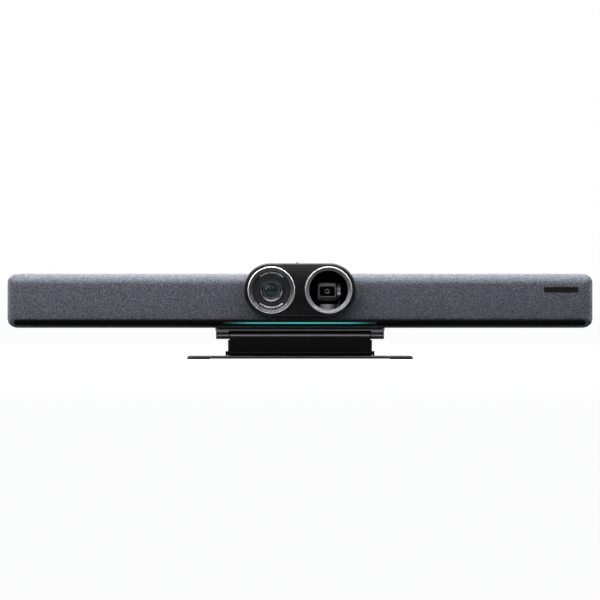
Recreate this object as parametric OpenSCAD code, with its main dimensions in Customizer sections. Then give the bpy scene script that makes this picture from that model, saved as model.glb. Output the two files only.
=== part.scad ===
// Conference camera: a cloth-wrapped video bar with a twin camera pod on a folding hinge stand.
// The frame has x to the right seen from the front, the front at -y and z up. The pads rest on z = 0.
// All lengths are millimetres.

/* [Bar] */
// Width of the bar
bar_w = 858; // [800:2:920]
// Height of the bar
bar_h = 79.5; // [78:0.5:84]
// Depth of the bar from its cloth face to its back
bar_d = 68; // [67:0.5:74]
// Radius of the long edges, seen from the side
edge_r = 16; // [12:0.5:18]
// Radius of the corners, seen from the front
end_r = 15; // [10:0.5:18]
// Radius of the corners, seen from above
plan_r = 12; // [9:0.5:15]
// Distance from the cloth face to the seam with the rear housing
seam_setback = 41; // [38:0.5:44]
// Gap at the seam
seam_gap = 0.3; // [0.1:0.1:0.8]
// Thickness of the cloth cover
cover_t = 1; // [0.8:0.1:1.4]
// Wall of the frame under the cloth
frame_t = 2.6; // [2:0.1:3]
// Wall of the rear housing
housing_t = 2.6; // [2.2:0.1:3]
// Reach of the rear housing's lip into the frame
lip_reach = 6; // [4:0.5:8]
// Wall of the lip
lip_t = 1.6; // [1.2:0.1:2]
// Height of the label plate
label_h = 7.5; // [5:0.5:10]
// Width of the label plate
label_w = 50; // [30:1:70]
// Distance from the bar's right end to the middle of the label plate
label_inset = 47.2; // [40:0.2:60]
// Height of the label plate's middle above the bar's bottom
label_rise = 56.1; // [45:0.1:60]
// How far the label plate stands proud of the cloth
label_proud = 0.3; // [0.1:0.1:1]

/* [Light strip] */
// Length of the glossy strip
strip_w = 836; // [700:2:840]
// Height of the strip
strip_h = 9.1; // [8:0.1:10]
// Height of the strip's lower edge above the bar's bottom
strip_rise = 3.1; // [2.6:0.1:3.4]
// Thickness of the strip
strip_t = 0.9; // [0.6:0.1:1]
// Depth of the strip's face under the cloth
strip_sink = 0.2; // [0.1:0.1:0.4]
// Length of the light bar
light_w = 224; // [180:2:240]
// Height of the light bar
light_h = 2.7; // [2:0.1:3]
// Height of the light bar's middle above the strip's lower edge
light_rise = 4.2; // [3.8:0.1:4.8]
// Number of lamps on the light board
lamp_count = 24; // [8:1:32]

/* [Camera pod] */
// Half the distance between the middles of the pod's two round ends
pod_half_span = 43.4; // [43:0.1:46]
// Radius of the pod's round ends
pod_r = 39; // [38.5:0.1:41]
// Height of the pod's middle above the bar's bottom
pod_rise = 55.5; // [54:0.1:57]
// How far the pod's fascia stands in front of the cloth
pod_proud = 12.5; // [11:0.1:14]
// How far the lens rings stand in front of the fascia
ring_proud = 1.5; // [1:0.1:2.5]
// Depth of the pod from its fascia to its rear wall
pod_d = 57.5; // [56.6:0.1:58.5]
// Wall of the pod
pod_t = 2.5; // [2:0.1:2.5]
// Thickness of the fascia
fascia_t = 3; // [3:0.1:4]
// Chamfer around the fascia
fascia_chamfer = 2.6; // [1:0.1:2.8]
// Half the distance between the two lens openings
lens_x = 41.8; // [40:0.1:42.4]
// How far the lens openings lie below the pod's middle
lens_drop = 0.3; // [0:0.1:0.6]
// Outer radius of the lens rings
ring_r = 35.4; // [35.2:0.1:36]
// Width of the rings' bright rims
ring_rim = 2; // [1.4:0.1:2.2]
// Radius of the funnels' small ends
funnel_throat_r = 28.3; // [27.5:0.1:29]
// Depth of the funnels
funnel_d = 6; // [4.5:0.1:6.5]
// Number of steps in the wide lens funnel
funnel_steps = 6; // [3:1:8]

/* [Power button] */
// Distance from the pod's middle to the button
button_x = -4; // [-8:0.5:4]
// Distance from the fascia's face to the button's middle
button_setback = 29; // [26:0.5:33]
// Width of the button
button_w = 3.6; // [3:0.1:5]
// Length of the button, front to back
button_l = 11; // [8:0.5:13]
// How far the button stands out of the pod
button_proud = 1.3; // [1:0.1:2]
// Travel of the button
button_travel = 0.8; // [0.4:0.1:0.9]

/* [Wide camera] */
// Radius of the lens barrel
barrel_r = 18; // [17:0.1:20]
// Radius of the opening in the barrel's nose
nose_r = 16.8; // [15:0.1:17]
// How far the nose stands in front of the barrel's plate
nose_proud = 1.2; // [0.6:0.1:2]
// Outer radius of the lens retainer
retainer_r = 12.2; // [12:0.1:13]
// Clear radius of the front glass
glass_r = 11; // [9:0.1:11.2]
// Radius of curvature of the front glass
glass_curve_r = 17; // [15:0.5:24]
// Length of the barrel behind its plate
barrel_l = 30; // [26:0.5:36]

/* [Gimbal camera] */
// How far the pan axis lies left of the window's middle
gimbal_shift = 2; // [1:0.1:2.4]
// Distance from the fascia's face to the pan axis
gimbal_setback = 30.3; // [29.6:0.1:31]
// Distance from the lens openings' middle down to the tilt axis
gimbal_drop = 1.5; // [1:0.1:2]
// Width of the camera head
head_w = 27.4; // [25:0.1:27.6]
// Height of the camera head
head_h = 24.5; // [22:0.1:24.6]
// Reach of the camera head in front of the tilt axis
head_front = 15; // [12:0.1:15.2]
// Reach of the camera head behind the tilt axis
head_back = 10.5; // [9:0.1:10.6]
// Radius of the head's edges
head_edge_r = 3.6; // [3:0.1:5]
// Width of the head's front window
eye_w = 22.5; // [18:0.1:22.6]
// Height of the head's front window
eye_h = 15; // [12:0.1:16]
// Clear radius of the head's lens
eye_lens_r = 5; // [3.5:0.1:5.5]
// Radius of the pan drum
drum_r = 10.75; // [9:0.05:10.9]
// Height of the pan drum
drum_h = 7.8; // [7:0.1:7.9]
// Gap between the head and the tilt motor
head_gap = 1.2; // [1:0.1:1.4]
// Thickness of the tilt motor
tilt_motor_t = 4.7; // [4.4:0.1:4.8]
// Distance from the tilt axis down to the drum's top
drum_top_drop = 19; // [18.9:0.1:19.4]

/* [Speakers] */
// Half the width kept for the electronics between the speaker boxes
core_half_w = 130; // [128:0.5:134]
// Distance from the bar's end to its speaker box
end_bay = 30; // [28:0.5:34]
// Height of the speaker boxes
box_h = 57; // [55:0.5:58]
// Depth of the speaker boxes
box_d = 46; // [42:0.5:50]
// Wall of the speaker boxes
box_t = 2.2; // [1.8:0.1:3]
// Outer radius of the driver's flange
driver_r = 26; // [25:0.1:27]
// Distance from the box's inner end to the driver's middle
driver_inset = 50; // [40:1:70]
// Travel of the cone, each way
cone_travel = 1.2; // [0.6:0.1:1.4]
// Radius of the bass port
port_r = 11; // [8:0.5:13]
// Distance from the box's outer end to the bass port's middle
port_inset = 40; // [25:1:60]
// Number of slots in each speaker grille
slot_count = 30; // [10:1:36]
// Width of each grille slot
slot_w = 3; // [2:0.1:4]

/* [Rear sockets] */
// Width of the socket recess
recess_w = 184; // [170:2:188]
// Height of the socket recess
recess_h = 24; // [22:0.5:24.5]
// Height of the recess's lower edge above the bar's bottom
recess_rise = 10.2; // [10:0.1:12]
// Depth of the recess
recess_d = 11; // [10.5:0.1:11.5]
// Radius of the power socket's opening
power_bore_r = 3.2; // [2.8:0.1:3.6]
// Radius of the power socket's pin
power_pin_r = 1; // [0.8:0.1:1.3]
// Radius of the headphone socket's bore
audio_bore_r = 1.8; // [1.75:0.05:1.85]

/* [Stand] */
// Width of the base plate
base_w = 330; // [310:2:360]
// Depth of the base plate
base_d = 76; // [70:0.5:78]
// Thickness of the base plate
base_t = 3.2; // [2.8:0.1:4]
// Corner radius of the base plate
base_r = 10; // [6:0.5:14]
// Distance of the base plate's front edge behind the lens rings
base_setback = 4; // [2:0.5:5]
// Thickness of the rubber pads
pad_t = 1.1; // [0.8:0.1:2]
// Width of each rubber pad
pad_w = 32.5; // [24:0.5:34]
// Height of the lower hinge axis above the base plate
lower_axis_rise = 3.5; // [3.4:0.1:4.5]
// Radius of the lower hinge's barrel
lower_barrel_r = 3.2; // [3:0.1:3.3]
// Radius of the lower hinge pin
lower_pin_r = 1.6; // [1.3:0.05:1.8]
// Distance between the two hinge axes
hinge_spacing = 26.7; // [26.4:0.1:32]
// Distance of the hinge axes in front of the bar's back
hinge_inset = 7.5; // [7:0.1:9]
// Width of the riser between its end caps
riser_w = 209; // [190:1:212]
// Thickness of the riser
riser_t = 8; // [7:0.1:9]
// Thickness of the riser's end caps
end_cap_t = 2.3; // [1.5:0.1:2.4]
// Radius of the tilt hinge's barrel
barrel_hinge_r = 6; // [5.5:0.1:6.2]
// Radius of the tilt hinge pin
tilt_pin_r = 2.5; // [2:0.1:2.8]
// Outer radius of the tilt friction bushes
bush_r = 4; // [3.4:0.1:4.4]
// Width of the mount leaf
leaf_w = 249.2; // [246:0.2:256]
// Depth of the mount leaf
leaf_d = 52; // [46:0.5:56]
// Thickness of the mount leaf
leaf_t = 4; // [3.6:0.1:5]
// Corner radius of the mount leaf
leaf_r = 6; // [3:0.5:10]
// Gap between the tilt barrel and the mount leaf
leaf_gap = 1.3; // [0.8:0.1:2]
// Distance between the wall screw holes along the bar
wall_hole_dx = 248; // [246:1:252]
// Distance between the wall screw holes front to back
wall_hole_dy = 40; // [30:1:44]
// Radius of the wall screw holes
wall_hole_r = 2.75; // [2.25:0.05:3]

/* [Fits] */
// Clearance between parts that slot together
fit = 0.1; // [0.05:0.05:0.2]
// Clearance around a pin that turns
running = 0.05; // [0.03:0.01:0.08]
// Clearance around a pin or bush that is pressed in
press = 0.02; // [0.01:0.01:0.03]

/* [Hidden] */
$fn = 72;

// Overrun of every cut past the face that it opens
over = 1;
// Depth by which parts of one solid run into each other
sunk = 0.5;
// Thickness of every circuit board
board_t = 1.6;

// Places, from front to back
total_d = bar_d + pod_proud + ring_proud;
ring_y = -total_d / 2;
fascia_y = ring_y + ring_proud;
pod_y0 = fascia_y + fascia_t;
pod_y1 = fascia_y + pod_d;
bar_y0 = fascia_y + pod_proud;
bar_y1 = bar_y0 + bar_d;
bar_mid_y = (bar_y0 + bar_y1) / 2;
seam_y = bar_y0 + seam_setback;
frame_inset = cover_t + fit;
frame_in = frame_inset + frame_t;
frame_y = bar_y0 + frame_in;
housing_y = bar_y1 - housing_t;

// Places, from the floor up
base_top_z = pad_t + base_t;
lower_axis_z = base_top_z + lower_axis_rise;
tilt_axis_z = lower_axis_z + hinge_spacing;
leaf_z = tilt_axis_z + barrel_hinge_r + leaf_gap;
bar_z0 = leaf_z + leaf_t;
bar_z1 = bar_z0 + bar_h;
bar_mid_z = bar_z0 + bar_h / 2;
pod_z = bar_z0 + pod_rise;
lens_z = pod_z - lens_drop;
strip_z = bar_z0 + strip_rise + strip_h / 2;
light_z = bar_z0 + strip_rise + light_rise;
hinge_y = bar_y1 - hinge_inset;

// Colours, as the photograph shows them
cloth_grey = "#52565d";
gloss_black = "#090a0e";
satin_black = "#24262a";
soft_black = "#17181b";
ring_silver = "#c9ccd0";
funnel_grey = "#3c3e42";
glow_teal = "#54bcbf";
steel_grey = "#8b8f94";
board_green = "#1f5a3a";
lens_tint = "#2c4a44";

// Rounded rectangle about the origin
module round_rect(w, h, r) {
    square([w - 2 * r, h], center = true);
    square([w, h - 2 * r], center = true);
    for (sx = [-1, 1], sy = [-1, 1])
        translate([sx * (w / 2 - r), sy * (h / 2 - r)]) circle(r);
}

// Block rounded in three views: from the side, from the front and from above
module round_block(w, d, h, side_r, front_r, top_r) {
    intersection() {
        rotate([90, 0, 90]) linear_extrude(w, center = true) round_rect(d, h, side_r);
        rotate([90, 0, 0]) linear_extrude(d, center = true) round_rect(w, h, front_r);
        linear_extrude(h, center = true) round_rect(w, d, top_r);
    }
}

// Block between two corners
module block(x0, x1, y0, y1, z0, z1) {
    translate([x0, y0, z0]) cube([x1 - x0, y1 - y0, z1 - z0]);
}

// Rods along each axis, from one place to another
module rod_x(r, x0, x1) translate([x0, 0, 0]) rotate([0, 90, 0]) cylinder(r = r, h = x1 - x0);
module rod_y(r, y0, y1) translate([0, y0, 0]) rotate([-90, 0, 0]) cylinder(r = r, h = y1 - y0);
module rod_z(r, z0, z1) translate([0, 0, z0]) cylinder(r = r, h = z1 - z0);

// Tube along y
module tube_y(r_out, r_in, y0, y1) {
    difference() {
        rod_y(r_out, y0, y1);
        rod_y(r_in, y0 - over, y1 + over);
    }
}

// Turns an outline of (radius, y) about the y axis
module turned_y() rotate([-90, 0, 0]) rotate_extrude() children();

// Plate in the x and z plane, between two y places, from an outline in (x, z)
module plate_xz(y0, y1) translate([0, y1, 0]) rotate([90, 0, 0]) linear_extrude(y1 - y0) children();

// The bar's whole form, drawn in by an inset on all sides
module bar_solid(inset) {
    translate([0, bar_mid_y, bar_mid_z])
        round_block(bar_w - 2 * inset, bar_d - 2 * inset, bar_h - 2 * inset,
            edge_r - inset, end_r - inset, plan_r - inset);
}

// Layer of the bar between two insets
module bar_layer(outer, inner) {
    difference() {
        bar_solid(outer);
        bar_solid(inner);
    }
}

// Slice of space between two y places, wider and taller than the bar
module slice_y(y0, y1) {
    block(-bar_w / 2 - over, bar_w / 2 + over, y0, y1, 0, bar_z1 + pod_r);
}

// Outline with two round ends, about the origin
module pill(half_span, r) {
    square([2 * half_span, 2 * r], center = true);
    for (s = [-1, 1]) translate([s * half_span, 0]) circle(r);
}

// Prism of the pod's outline, grown by an amount
module pod_prism(grow, y0, y1) {
    translate([0, 0, pod_z]) plate_xz(y0, y1) pill(pod_half_span, pod_r + grow);
}

// Prism of the light strip's outline, grown by an amount
module strip_prism(grow, y0, y1) {
    translate([0, 0, strip_z]) plate_xz(y0, y1)
        pill((strip_w - strip_h) / 2, strip_h / 2 + grow);
}

// Screw along y with its head's top at y = 0, pointing to -y, with a hexagon socket
screw_socket_share = 0.55;
module screw_y(head_r, head_h, shaft_r, length) {
    difference() {
        union() {
            rotate([90, 0, 0]) cylinder(r1 = head_r, r2 = shaft_r, h = head_h);
            rod_y(shaft_r, -length, -head_h / 2);
        }
        translate([0, -head_h * screw_socket_share, 0]) rotate([-90, 0, 0])
            cylinder(r = head_r * screw_socket_share, h = head_h, $fn = 6);
    }
}

// Stand

base_y0 = ring_y + base_setback;
wall_hole_margin = 13;
wall_hole_y = base_y0 + wall_hole_margin + wall_hole_dy / 2;
wall_head_r = 4.6;
ear_gap = 0.4;
notch_half_w = riser_w / 2 + end_cap_t + ear_gap + ear_gap;
ear_w = 3;
notch_gap = 1.6;
notch_y = hinge_y - riser_t / 2 - notch_gap;
base_y1 = base_y0 + base_d;
base_mid_y = (base_y0 + base_y1) / 2;

module base_outline() translate([0, base_mid_y]) round_rect(base_w, base_d, base_r);

ear_neck_share = 0.85;

module base_plate() color(satin_black) {
    ear_x = notch_half_w;
    difference() {
        union() {
            difference() {
                translate([0, 0, pad_t]) linear_extrude(base_t) base_outline();
                block(-notch_half_w, notch_half_w, notch_y, base_y1 + over, 0, base_top_z + over);
                for (sx = [-1, 1], sy = [-1, 1])
                    translate([sx * wall_hole_dx / 2, wall_hole_y + sy * wall_hole_dy / 2, 0]) {
                        rod_z(wall_hole_r, 0, base_top_z + over);
                        translate([0, 0, base_top_z - (wall_head_r - wall_hole_r)])
                            cylinder(r1 = wall_hole_r, r2 = wall_head_r + over,
                                h = wall_head_r - wall_hole_r + over);
                    }
            }
            for (s = [-1, 1]) translate([s * (ear_x + ear_w / 2), hinge_y, 0]) {
                translate([0, 0, lower_axis_z]) rod_x(lower_barrel_r, -ear_w / 2, ear_w / 2);
                block(-ear_w / 2, ear_w / 2, -lower_barrel_r * ear_neck_share,
                    lower_barrel_r * ear_neck_share, base_top_z - sunk, lower_axis_z);
            }
        }
        translate([0, hinge_y, lower_axis_z])
            rod_x(lower_pin_r + press, -ear_x - ear_w - over, ear_x + ear_w + over);
    }
}

pad_margin = 1.5;
module base_pads() color(soft_black) {
    intersection() {
        linear_extrude(pad_t) translate([0, base_mid_y])
            round_rect(base_w - 2 * fit, base_d - 2 * pad_margin, base_r - fit);
        for (s = [-1, 1]) scale([s, 1, 1])
            translate([0, base_y0 + base_d, 0]) rotate([90, 0, 0]) linear_extrude(base_d)
                polygon([[base_w / 2 - pad_w + pad_t, 0], [base_w / 2 + over, 0],
                    [base_w / 2 + over, pad_t], [base_w / 2 - pad_w, pad_t]]);
    }
}

module lower_hinge_pin() color(steel_grey) {
    half = notch_half_w + ear_w - fit;
    translate([0, hinge_y, lower_axis_z]) rod_x(lower_pin_r, -half, half);
}

// Riser

riser_foot_rise = 2.4;
riser_foot_chamfer = 1;
riser_neck_share = 0.8;
cap_peg_r = 1.5;
cap_peg_l = 4;
cap_peg_rises = [9, 16];
cap_top_drop = 6.8;

module riser_outline() {
    t = riser_t / 2;
    polygon([[-t, hinge_spacing], [-t, riser_foot_rise + riser_foot_chamfer],
        [-t + riser_foot_chamfer, riser_foot_rise], [-lower_barrel_r * riser_neck_share, riser_foot_rise],
        [-lower_barrel_r * riser_neck_share, 0], [lower_barrel_r * riser_neck_share, 0],
        [lower_barrel_r * riser_neck_share, riser_foot_rise], [t - riser_foot_chamfer, riser_foot_rise],
        [t, riser_foot_rise + riser_foot_chamfer], [t, hinge_spacing]]);
    circle(lower_barrel_r);
    translate([0, hinge_spacing]) circle(barrel_hinge_r);
}

module riser_panel() color(soft_black) difference() {
    translate([0, hinge_y, lower_axis_z]) rotate([90, 0, 90])
        linear_extrude(riser_w, center = true) riser_outline();
    translate([0, hinge_y, lower_axis_z])
        rod_x(lower_pin_r + running, -riser_w / 2 - over, riser_w / 2 + over);
    translate([0, hinge_y, tilt_axis_z])
        rod_x(tilt_pin_r + press, -riser_w / 2 - over, riser_w / 2 + over);
    for (s = [-1, 1], rise = cap_peg_rises) translate([0, hinge_y, lower_axis_z + rise])
        rod_x(cap_peg_r + press, s * riser_w / 2 - cap_peg_l - fit, s * riser_w / 2 + cap_peg_l + fit);
}

cap_round_share = 0.3;

module riser_end_caps() color(gloss_black) for (s = [-1, 1]) scale([s, 1, 1])
    translate([riser_w / 2 + press, hinge_y, lower_axis_z]) {
        translate([end_cap_t / 2, 0, (riser_foot_rise + hinge_spacing - cap_top_drop) / 2])
            round_block(end_cap_t, riser_t, hinge_spacing - cap_top_drop - riser_foot_rise,
                riser_foot_chamfer, end_cap_t * cap_round_share, end_cap_t * cap_round_share);
        for (rise = cap_peg_rises) translate([0, 0, rise])
            rod_x(cap_peg_r, -cap_peg_l + fit, end_cap_t / 2);
    }

knuckle_gap = 0.9;
knuckle_x0 = riser_w / 2 + knuckle_gap;
knuckle_x1 = leaf_w / 2;
knuckle_end_t = 2.6;
bush_x1 = knuckle_x1 - knuckle_end_t - fit;

module tilt_hinge_pin() color(steel_grey)
    translate([0, hinge_y, tilt_axis_z]) rod_x(tilt_pin_r, -bush_x1, bush_x1);

module tilt_friction_bushes() color("#b08d4c") for (s = [-1, 1]) scale([s, 1, 1])
    translate([0, hinge_y, tilt_axis_z]) difference() {
        rod_x(bush_r, riser_w / 2 + press, bush_x1);
        rod_x(tilt_pin_r + press, 0, knuckle_x1);
    }

// Leaf and its knuckles

leaf_tail_share = 0.9;
leaf_y1 = hinge_y + barrel_hinge_r * leaf_tail_share;
leaf_y0 = leaf_y1 - leaf_d;
leaf_screw_x = 96;
leaf_screw_margin = 8;
leaf_screw_front_y = bar_y0 + edge_r + leaf_screw_margin;
leaf_screw_rear_y = seam_y + leaf_screw_margin;
leaf_head_r = 3;
leaf_head_h = 1.8;
leaf_shaft_r = 1.5;
leaf_screw_l = 7.5;
knuckle_screw_dy = 5.6;
knuckle_neck_share = 0.78;

// Places of the screws that hold the leaf to the bar
module leaf_screw_places() {
    for (sx = [-1, 1], y = [leaf_screw_front_y, leaf_screw_rear_y])
        translate([sx * leaf_screw_x, y, leaf_z]) children();
}

// Places of the screws that hold the knuckles to the leaf
module knuckle_screw_places() {
    for (sx = [-1, 1], n = [-1, 1])
        translate([sx * (knuckle_x0 + knuckle_x1) / 2 + n * knuckle_screw_dy, hinge_y, bar_z0])
            rotate([180, 0, 0]) children();
}

// Screw along z with its head's face at z = 0 and its point upwards
module screw_z(head_r, head_h, shaft_r, length) rotate([-90, 0, 0]) screw_y(head_r, head_h, shaft_r, length);

head_taper_share = 0.8;

module mount_leaf() color(satin_black) difference() {
    translate([0, (leaf_y0 + leaf_y1) / 2, leaf_z]) linear_extrude(leaf_t - fit)
        round_rect(leaf_w, leaf_d, leaf_r);
    leaf_screw_places() {
        translate([0, 0, -over]) rod_z(leaf_shaft_r + fit, 0, leaf_t + 2 * over);
        translate([0, 0, -over]) cylinder(r1 = leaf_head_r + fit + over * head_taper_share,
            r2 = leaf_shaft_r + fit, h = leaf_head_h + fit + over);
    }
    knuckle_screw_places() {
        translate([0, 0, -over]) rod_z(leaf_shaft_r + fit, 0, leaf_t + 2 * over);
        translate([0, 0, -over]) cylinder(r1 = leaf_head_r + fit + over * head_taper_share,
            r2 = leaf_shaft_r + fit, h = leaf_head_h + 2 * fit + over);
    }
}

knuckle_screw_l = 2;

module tilt_knuckle() difference() {
    union() {
        translate([0, hinge_y, tilt_axis_z]) rod_x(barrel_hinge_r, knuckle_x0, knuckle_x1);
        block(knuckle_x0, knuckle_x1, hinge_y - barrel_hinge_r * knuckle_neck_share,
            hinge_y + barrel_hinge_r * knuckle_neck_share, tilt_axis_z, leaf_z);
    }
    translate([0, hinge_y, tilt_axis_z]) rod_x(bush_r + running, knuckle_x0 - over, bush_x1 + fit);
    knuckle_screw_places() rod_z(leaf_shaft_r + press, 0, leaf_t + knuckle_screw_l);
}

module tilt_knuckle_right() color(satin_black) tilt_knuckle();
module tilt_knuckle_left() color(satin_black) mirror([1, 0, 0]) tilt_knuckle();

module leaf_screws() color(steel_grey) {
    leaf_screw_places() screw_z(leaf_head_r, leaf_head_h, leaf_shaft_r, leaf_screw_l);
    knuckle_screw_places() translate([0, 0, fit])
        screw_z(leaf_head_r, leaf_head_h, leaf_shaft_r, leaf_t + knuckle_screw_l - 2 * fit);
}

// Bar casings

post_r = 4;
post_gap = 6;
post_inner_x = core_half_w - post_r - post_gap;
post_outer_x = bar_w / 2 - end_bay + post_r + post_gap;
post_rise_shares = [0.26, 0.74];
post_screw_r = 1.5;
post_head_r = 3;
post_head_h = 1.8;
post_screw_l = 12;
leaf_boss_r = 4;
window_margin = 8;
window_h = 42;
box_x0 = core_half_w;
box_x1 = bar_w / 2 - end_bay;
mic_x_in = (pod_half_span + pod_r + core_half_w) / 2;
mic_hole_r = 0.8;
mic_rise = 4;
mic_z = bar_mid_z + mic_rise;
mic_out_share = 0.62;
mic_x_out = bar_w / 2 - end_bay * mic_out_share;

// Places of the posts that hold the frame and the rear housing together
module post_places() {
    for (sx = [-1, 1], x = [post_inner_x, post_outer_x], share = post_rise_shares)
        translate([sx * x, 0, bar_z0 + bar_h * share]) children();
}

// Places of the four microphones
module mic_places() for (sx = [-1, 1], x = [mic_x_in, mic_x_out]) translate([sx * x, 0, mic_z]) children();

window_r = 4;

// Opening for a speaker grille, on the right
module grille_opening(grow, y0, y1) {
    translate([(box_x0 + box_x1) / 2, 0, bar_mid_z]) plate_xz(y0, y1)
        round_rect(box_x1 - box_x0 - 2 * window_margin + 2 * grow, window_h + 2 * grow, window_r + grow);
}

guide_slot_gap = 0.15;
guide_depth = 9.4;
guide_back_y = bar_y0 + guide_depth;

// Box around the light guide's section
module guide_box(grow, y1) {
    block(-light_w / 2 - grow, light_w / 2 + grow, bar_y0 - over, y1,
        light_z - light_h / 2 - grow, light_z + light_h / 2 + grow);
}

board_post_r = 2;
lamp_t = 0.8;
light_board_y = guide_back_y + lamp_t + 2 * fit;
light_board_h = 9.5;
light_board_gap = 0.9;
light_board_top_z = pod_z - pod_r - light_board_gap;
light_post_z = light_board_top_z - board_post_r - fit;
light_post_shares = [-0.94, 0, 0.94];
leaf_boss_roof = 1.5;
pod_gap = 0.3;

module front_frame() color(soft_black) difference() {
    union() {
        intersection() {
            bar_layer(frame_inset, frame_in);
            slice_y(bar_y0, seam_y);
        }
        intersection() {
            bar_solid(frame_inset + sunk);
            union() {
                post_places() rod_y(post_r, frame_y - sunk, housing_y - fit);
                for (sx = [-1, 1]) translate([sx * leaf_screw_x, leaf_screw_front_y, 0])
                    rod_z(leaf_boss_r, bar_z0 + frame_inset + sunk, leaf_z + leaf_screw_l + leaf_boss_roof);
                for (share = light_post_shares) translate([share * light_w / 2, 0, light_post_z])
                    rod_y(board_post_r, frame_y - frame_t / 2, light_board_y - fit);
            }
        }
    }
    pod_prism(pod_gap, bar_y0 - over, bar_y1);
    guide_box(guide_slot_gap, frame_y + edge_r);
    for (s = [0, 1]) mirror([s, 0, 0]) grille_opening(0, bar_y0 - over, frame_y + over);
    mic_places() rod_y(mic_hole_r, bar_y0, frame_y + over);
    post_places() rod_y(post_screw_r + press, housing_y - post_screw_l, housing_y + over);
    leaf_screw_places() rod_z(leaf_shaft_r + press, 0, leaf_screw_l + fit);
}

label_r = 0.8;

module label_prism(grow, y0, y1) {
    translate([bar_w / 2 - label_inset, 0, bar_z0 + label_rise]) plate_xz(y0, y1)
        round_rect(label_w + 2 * grow, label_h + 2 * grow, label_r + grow);
}

module fabric_cover() color(cloth_grey) difference() {
    intersection() {
        bar_layer(0, cover_t);
        slice_y(bar_y0 - over, seam_y);
    }
    pod_prism(pod_gap, bar_y0 - over, seam_y + over);
    strip_prism(fit, bar_y0 - over, bar_y0 + edge_r);
    label_prism(fit, bar_y0 - over, bar_y0 + cover_t + over);
    leaf_screw_places() rod_z(leaf_shaft_r + fit, 0, leaf_t + edge_r);
}

module lower_strip() color(gloss_black) difference() {
    intersection() {
        bar_layer(strip_sink, strip_sink + strip_t);
        strip_prism(0, bar_y0 - over, bar_y0 + edge_r);
    }
    guide_box(guide_slot_gap, frame_y + edge_r);
}

module light_guide() color(glow_teal) intersection() {
    bar_solid(strip_sink);
    guide_box(0, guide_back_y);
}

lamp_w = 2.4;

module light_board() {
    color(board_green) block(-light_w / 2 - board_post_r, light_w / 2 + board_post_r,
        light_board_y, light_board_y + board_t, light_board_top_z - light_board_h, light_board_top_z);
    pitch = light_w / lamp_count;
    color("white") for (i = [0:lamp_count - 1])
        translate([(i + 1 / 2) * pitch - light_w / 2, 0, light_z])
            block(-lamp_w / 2, lamp_w / 2, light_board_y - lamp_t, light_board_y, -lamp_w / 2, lamp_w / 2);
}

module label_plate() color(gloss_black)
    label_prism(0, bar_y0 - label_proud, bar_y0 + frame_inset - fit / 2);

shoulder_t = 3;
lip_inset = frame_in + fit;
vent_count = 14;
vent_w = 2.4;
vent_h = 16;
vent_pitch = 7;
vent_rise = 50;
board_standoff_r = 3;
board_side_gap = 20;
board_half_w = core_half_w - board_side_gap;
board_clear = 1.6;
board_y = pod_y1 + board_clear;
board_back_y = board_y + board_t;
board_z0 = bar_z0 + frame_in + board_clear;
board_top_gap = 8;
board_z1 = bar_z1 - frame_in - lip_t - board_top_gap;
board_hole_inset = 4.5;
recess_floor_y = bar_y1 - recess_d;
recess_wall = 2.2;
recess_z0 = bar_z0 + recess_rise;
recess_z1 = recess_z0 + recess_h;
socket_z = (recess_z0 + recess_z1) / 2;
recess_r = 3;

// Prism of the recess's outline, grown by its wall
module recess_prism(grow, y0, y1) {
    translate([0, 0, socket_z]) plate_xz(y0, y1)
        round_rect(recess_w + 2 * grow, recess_h + 2 * grow, recess_r + grow);
}

// Places of the main board's standoffs
module board_post_places() {
    for (sx = [-1, 1], z = [board_z0 + board_hole_inset, board_z1 - board_hole_inset])
        translate([sx * (board_half_w - board_hole_inset), 0, z]) children();
}

module rear_housing() color(satin_black) difference() {
    union() {
        intersection() {
            bar_layer(0, housing_t);
            slice_y(seam_y + seam_gap, bar_y1 + over);
        }
        intersection() {
            bar_layer(sunk, lip_inset + lip_t);
            slice_y(seam_y + seam_gap, seam_y + seam_gap + shoulder_t);
        }
        intersection() {
            bar_layer(lip_inset, lip_inset + lip_t);
            slice_y(seam_y - lip_reach, seam_y + seam_gap + shoulder_t);
        }
        intersection() {
            bar_solid(sunk);
            union() {
                recess_prism(recess_wall, recess_floor_y - recess_wall, bar_y1);
                board_post_places() rod_y(board_standoff_r, board_back_y + fit, housing_y + sunk);
            }
        }
        for (sx = [-1, 1]) intersection() {
            bar_solid(sunk);
            translate([sx * leaf_screw_x, leaf_screw_rear_y, 0])
                rod_z(leaf_boss_r, bar_z0 + sunk, leaf_z + leaf_screw_l + leaf_boss_roof);
        }
    }
    recess_prism(0, recess_floor_y, bar_y1 + over);
    pod_prism(pod_gap, bar_y0, pod_y1 + pod_gap);
    socket_openings();
    post_places() translate([0, bar_y1, 0]) {
        rod_y(post_screw_r + fit, -bar_d / 2, over);
        translate([0, over, 0]) rotate([90, 0, 0])
            cylinder(r1 = post_head_r + fit + over * head_taper_share, r2 = post_screw_r + fit,
                h = post_head_h + fit + over);
    }
    post_places() rod_y(post_r + fit, seam_y - lip_reach - over, housing_y + fit / 2);
    leaf_screw_places() rod_z(leaf_shaft_r + press, 0, leaf_screw_l + fit);
    for (i = [0:vent_count - 1])
        translate([(i - (vent_count - 1) / 2) * vent_pitch, 0, bar_z0 + vent_rise])
            plate_xz(housing_y - over, bar_y1 + over) slot(vent_w, vent_h);
}

// Upright slot with round ends, about the origin
module slot(w, h) rotate([0, 0, 90]) pill((h - w) / 2, w / 2);

module housing_screws() color(steel_grey)
    post_places() translate([0, bar_y1 - fit / 2, 0])
        screw_y(post_head_r, post_head_h, post_screw_r, post_screw_l - housing_t - fit);

// Sockets in the recess

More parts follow.
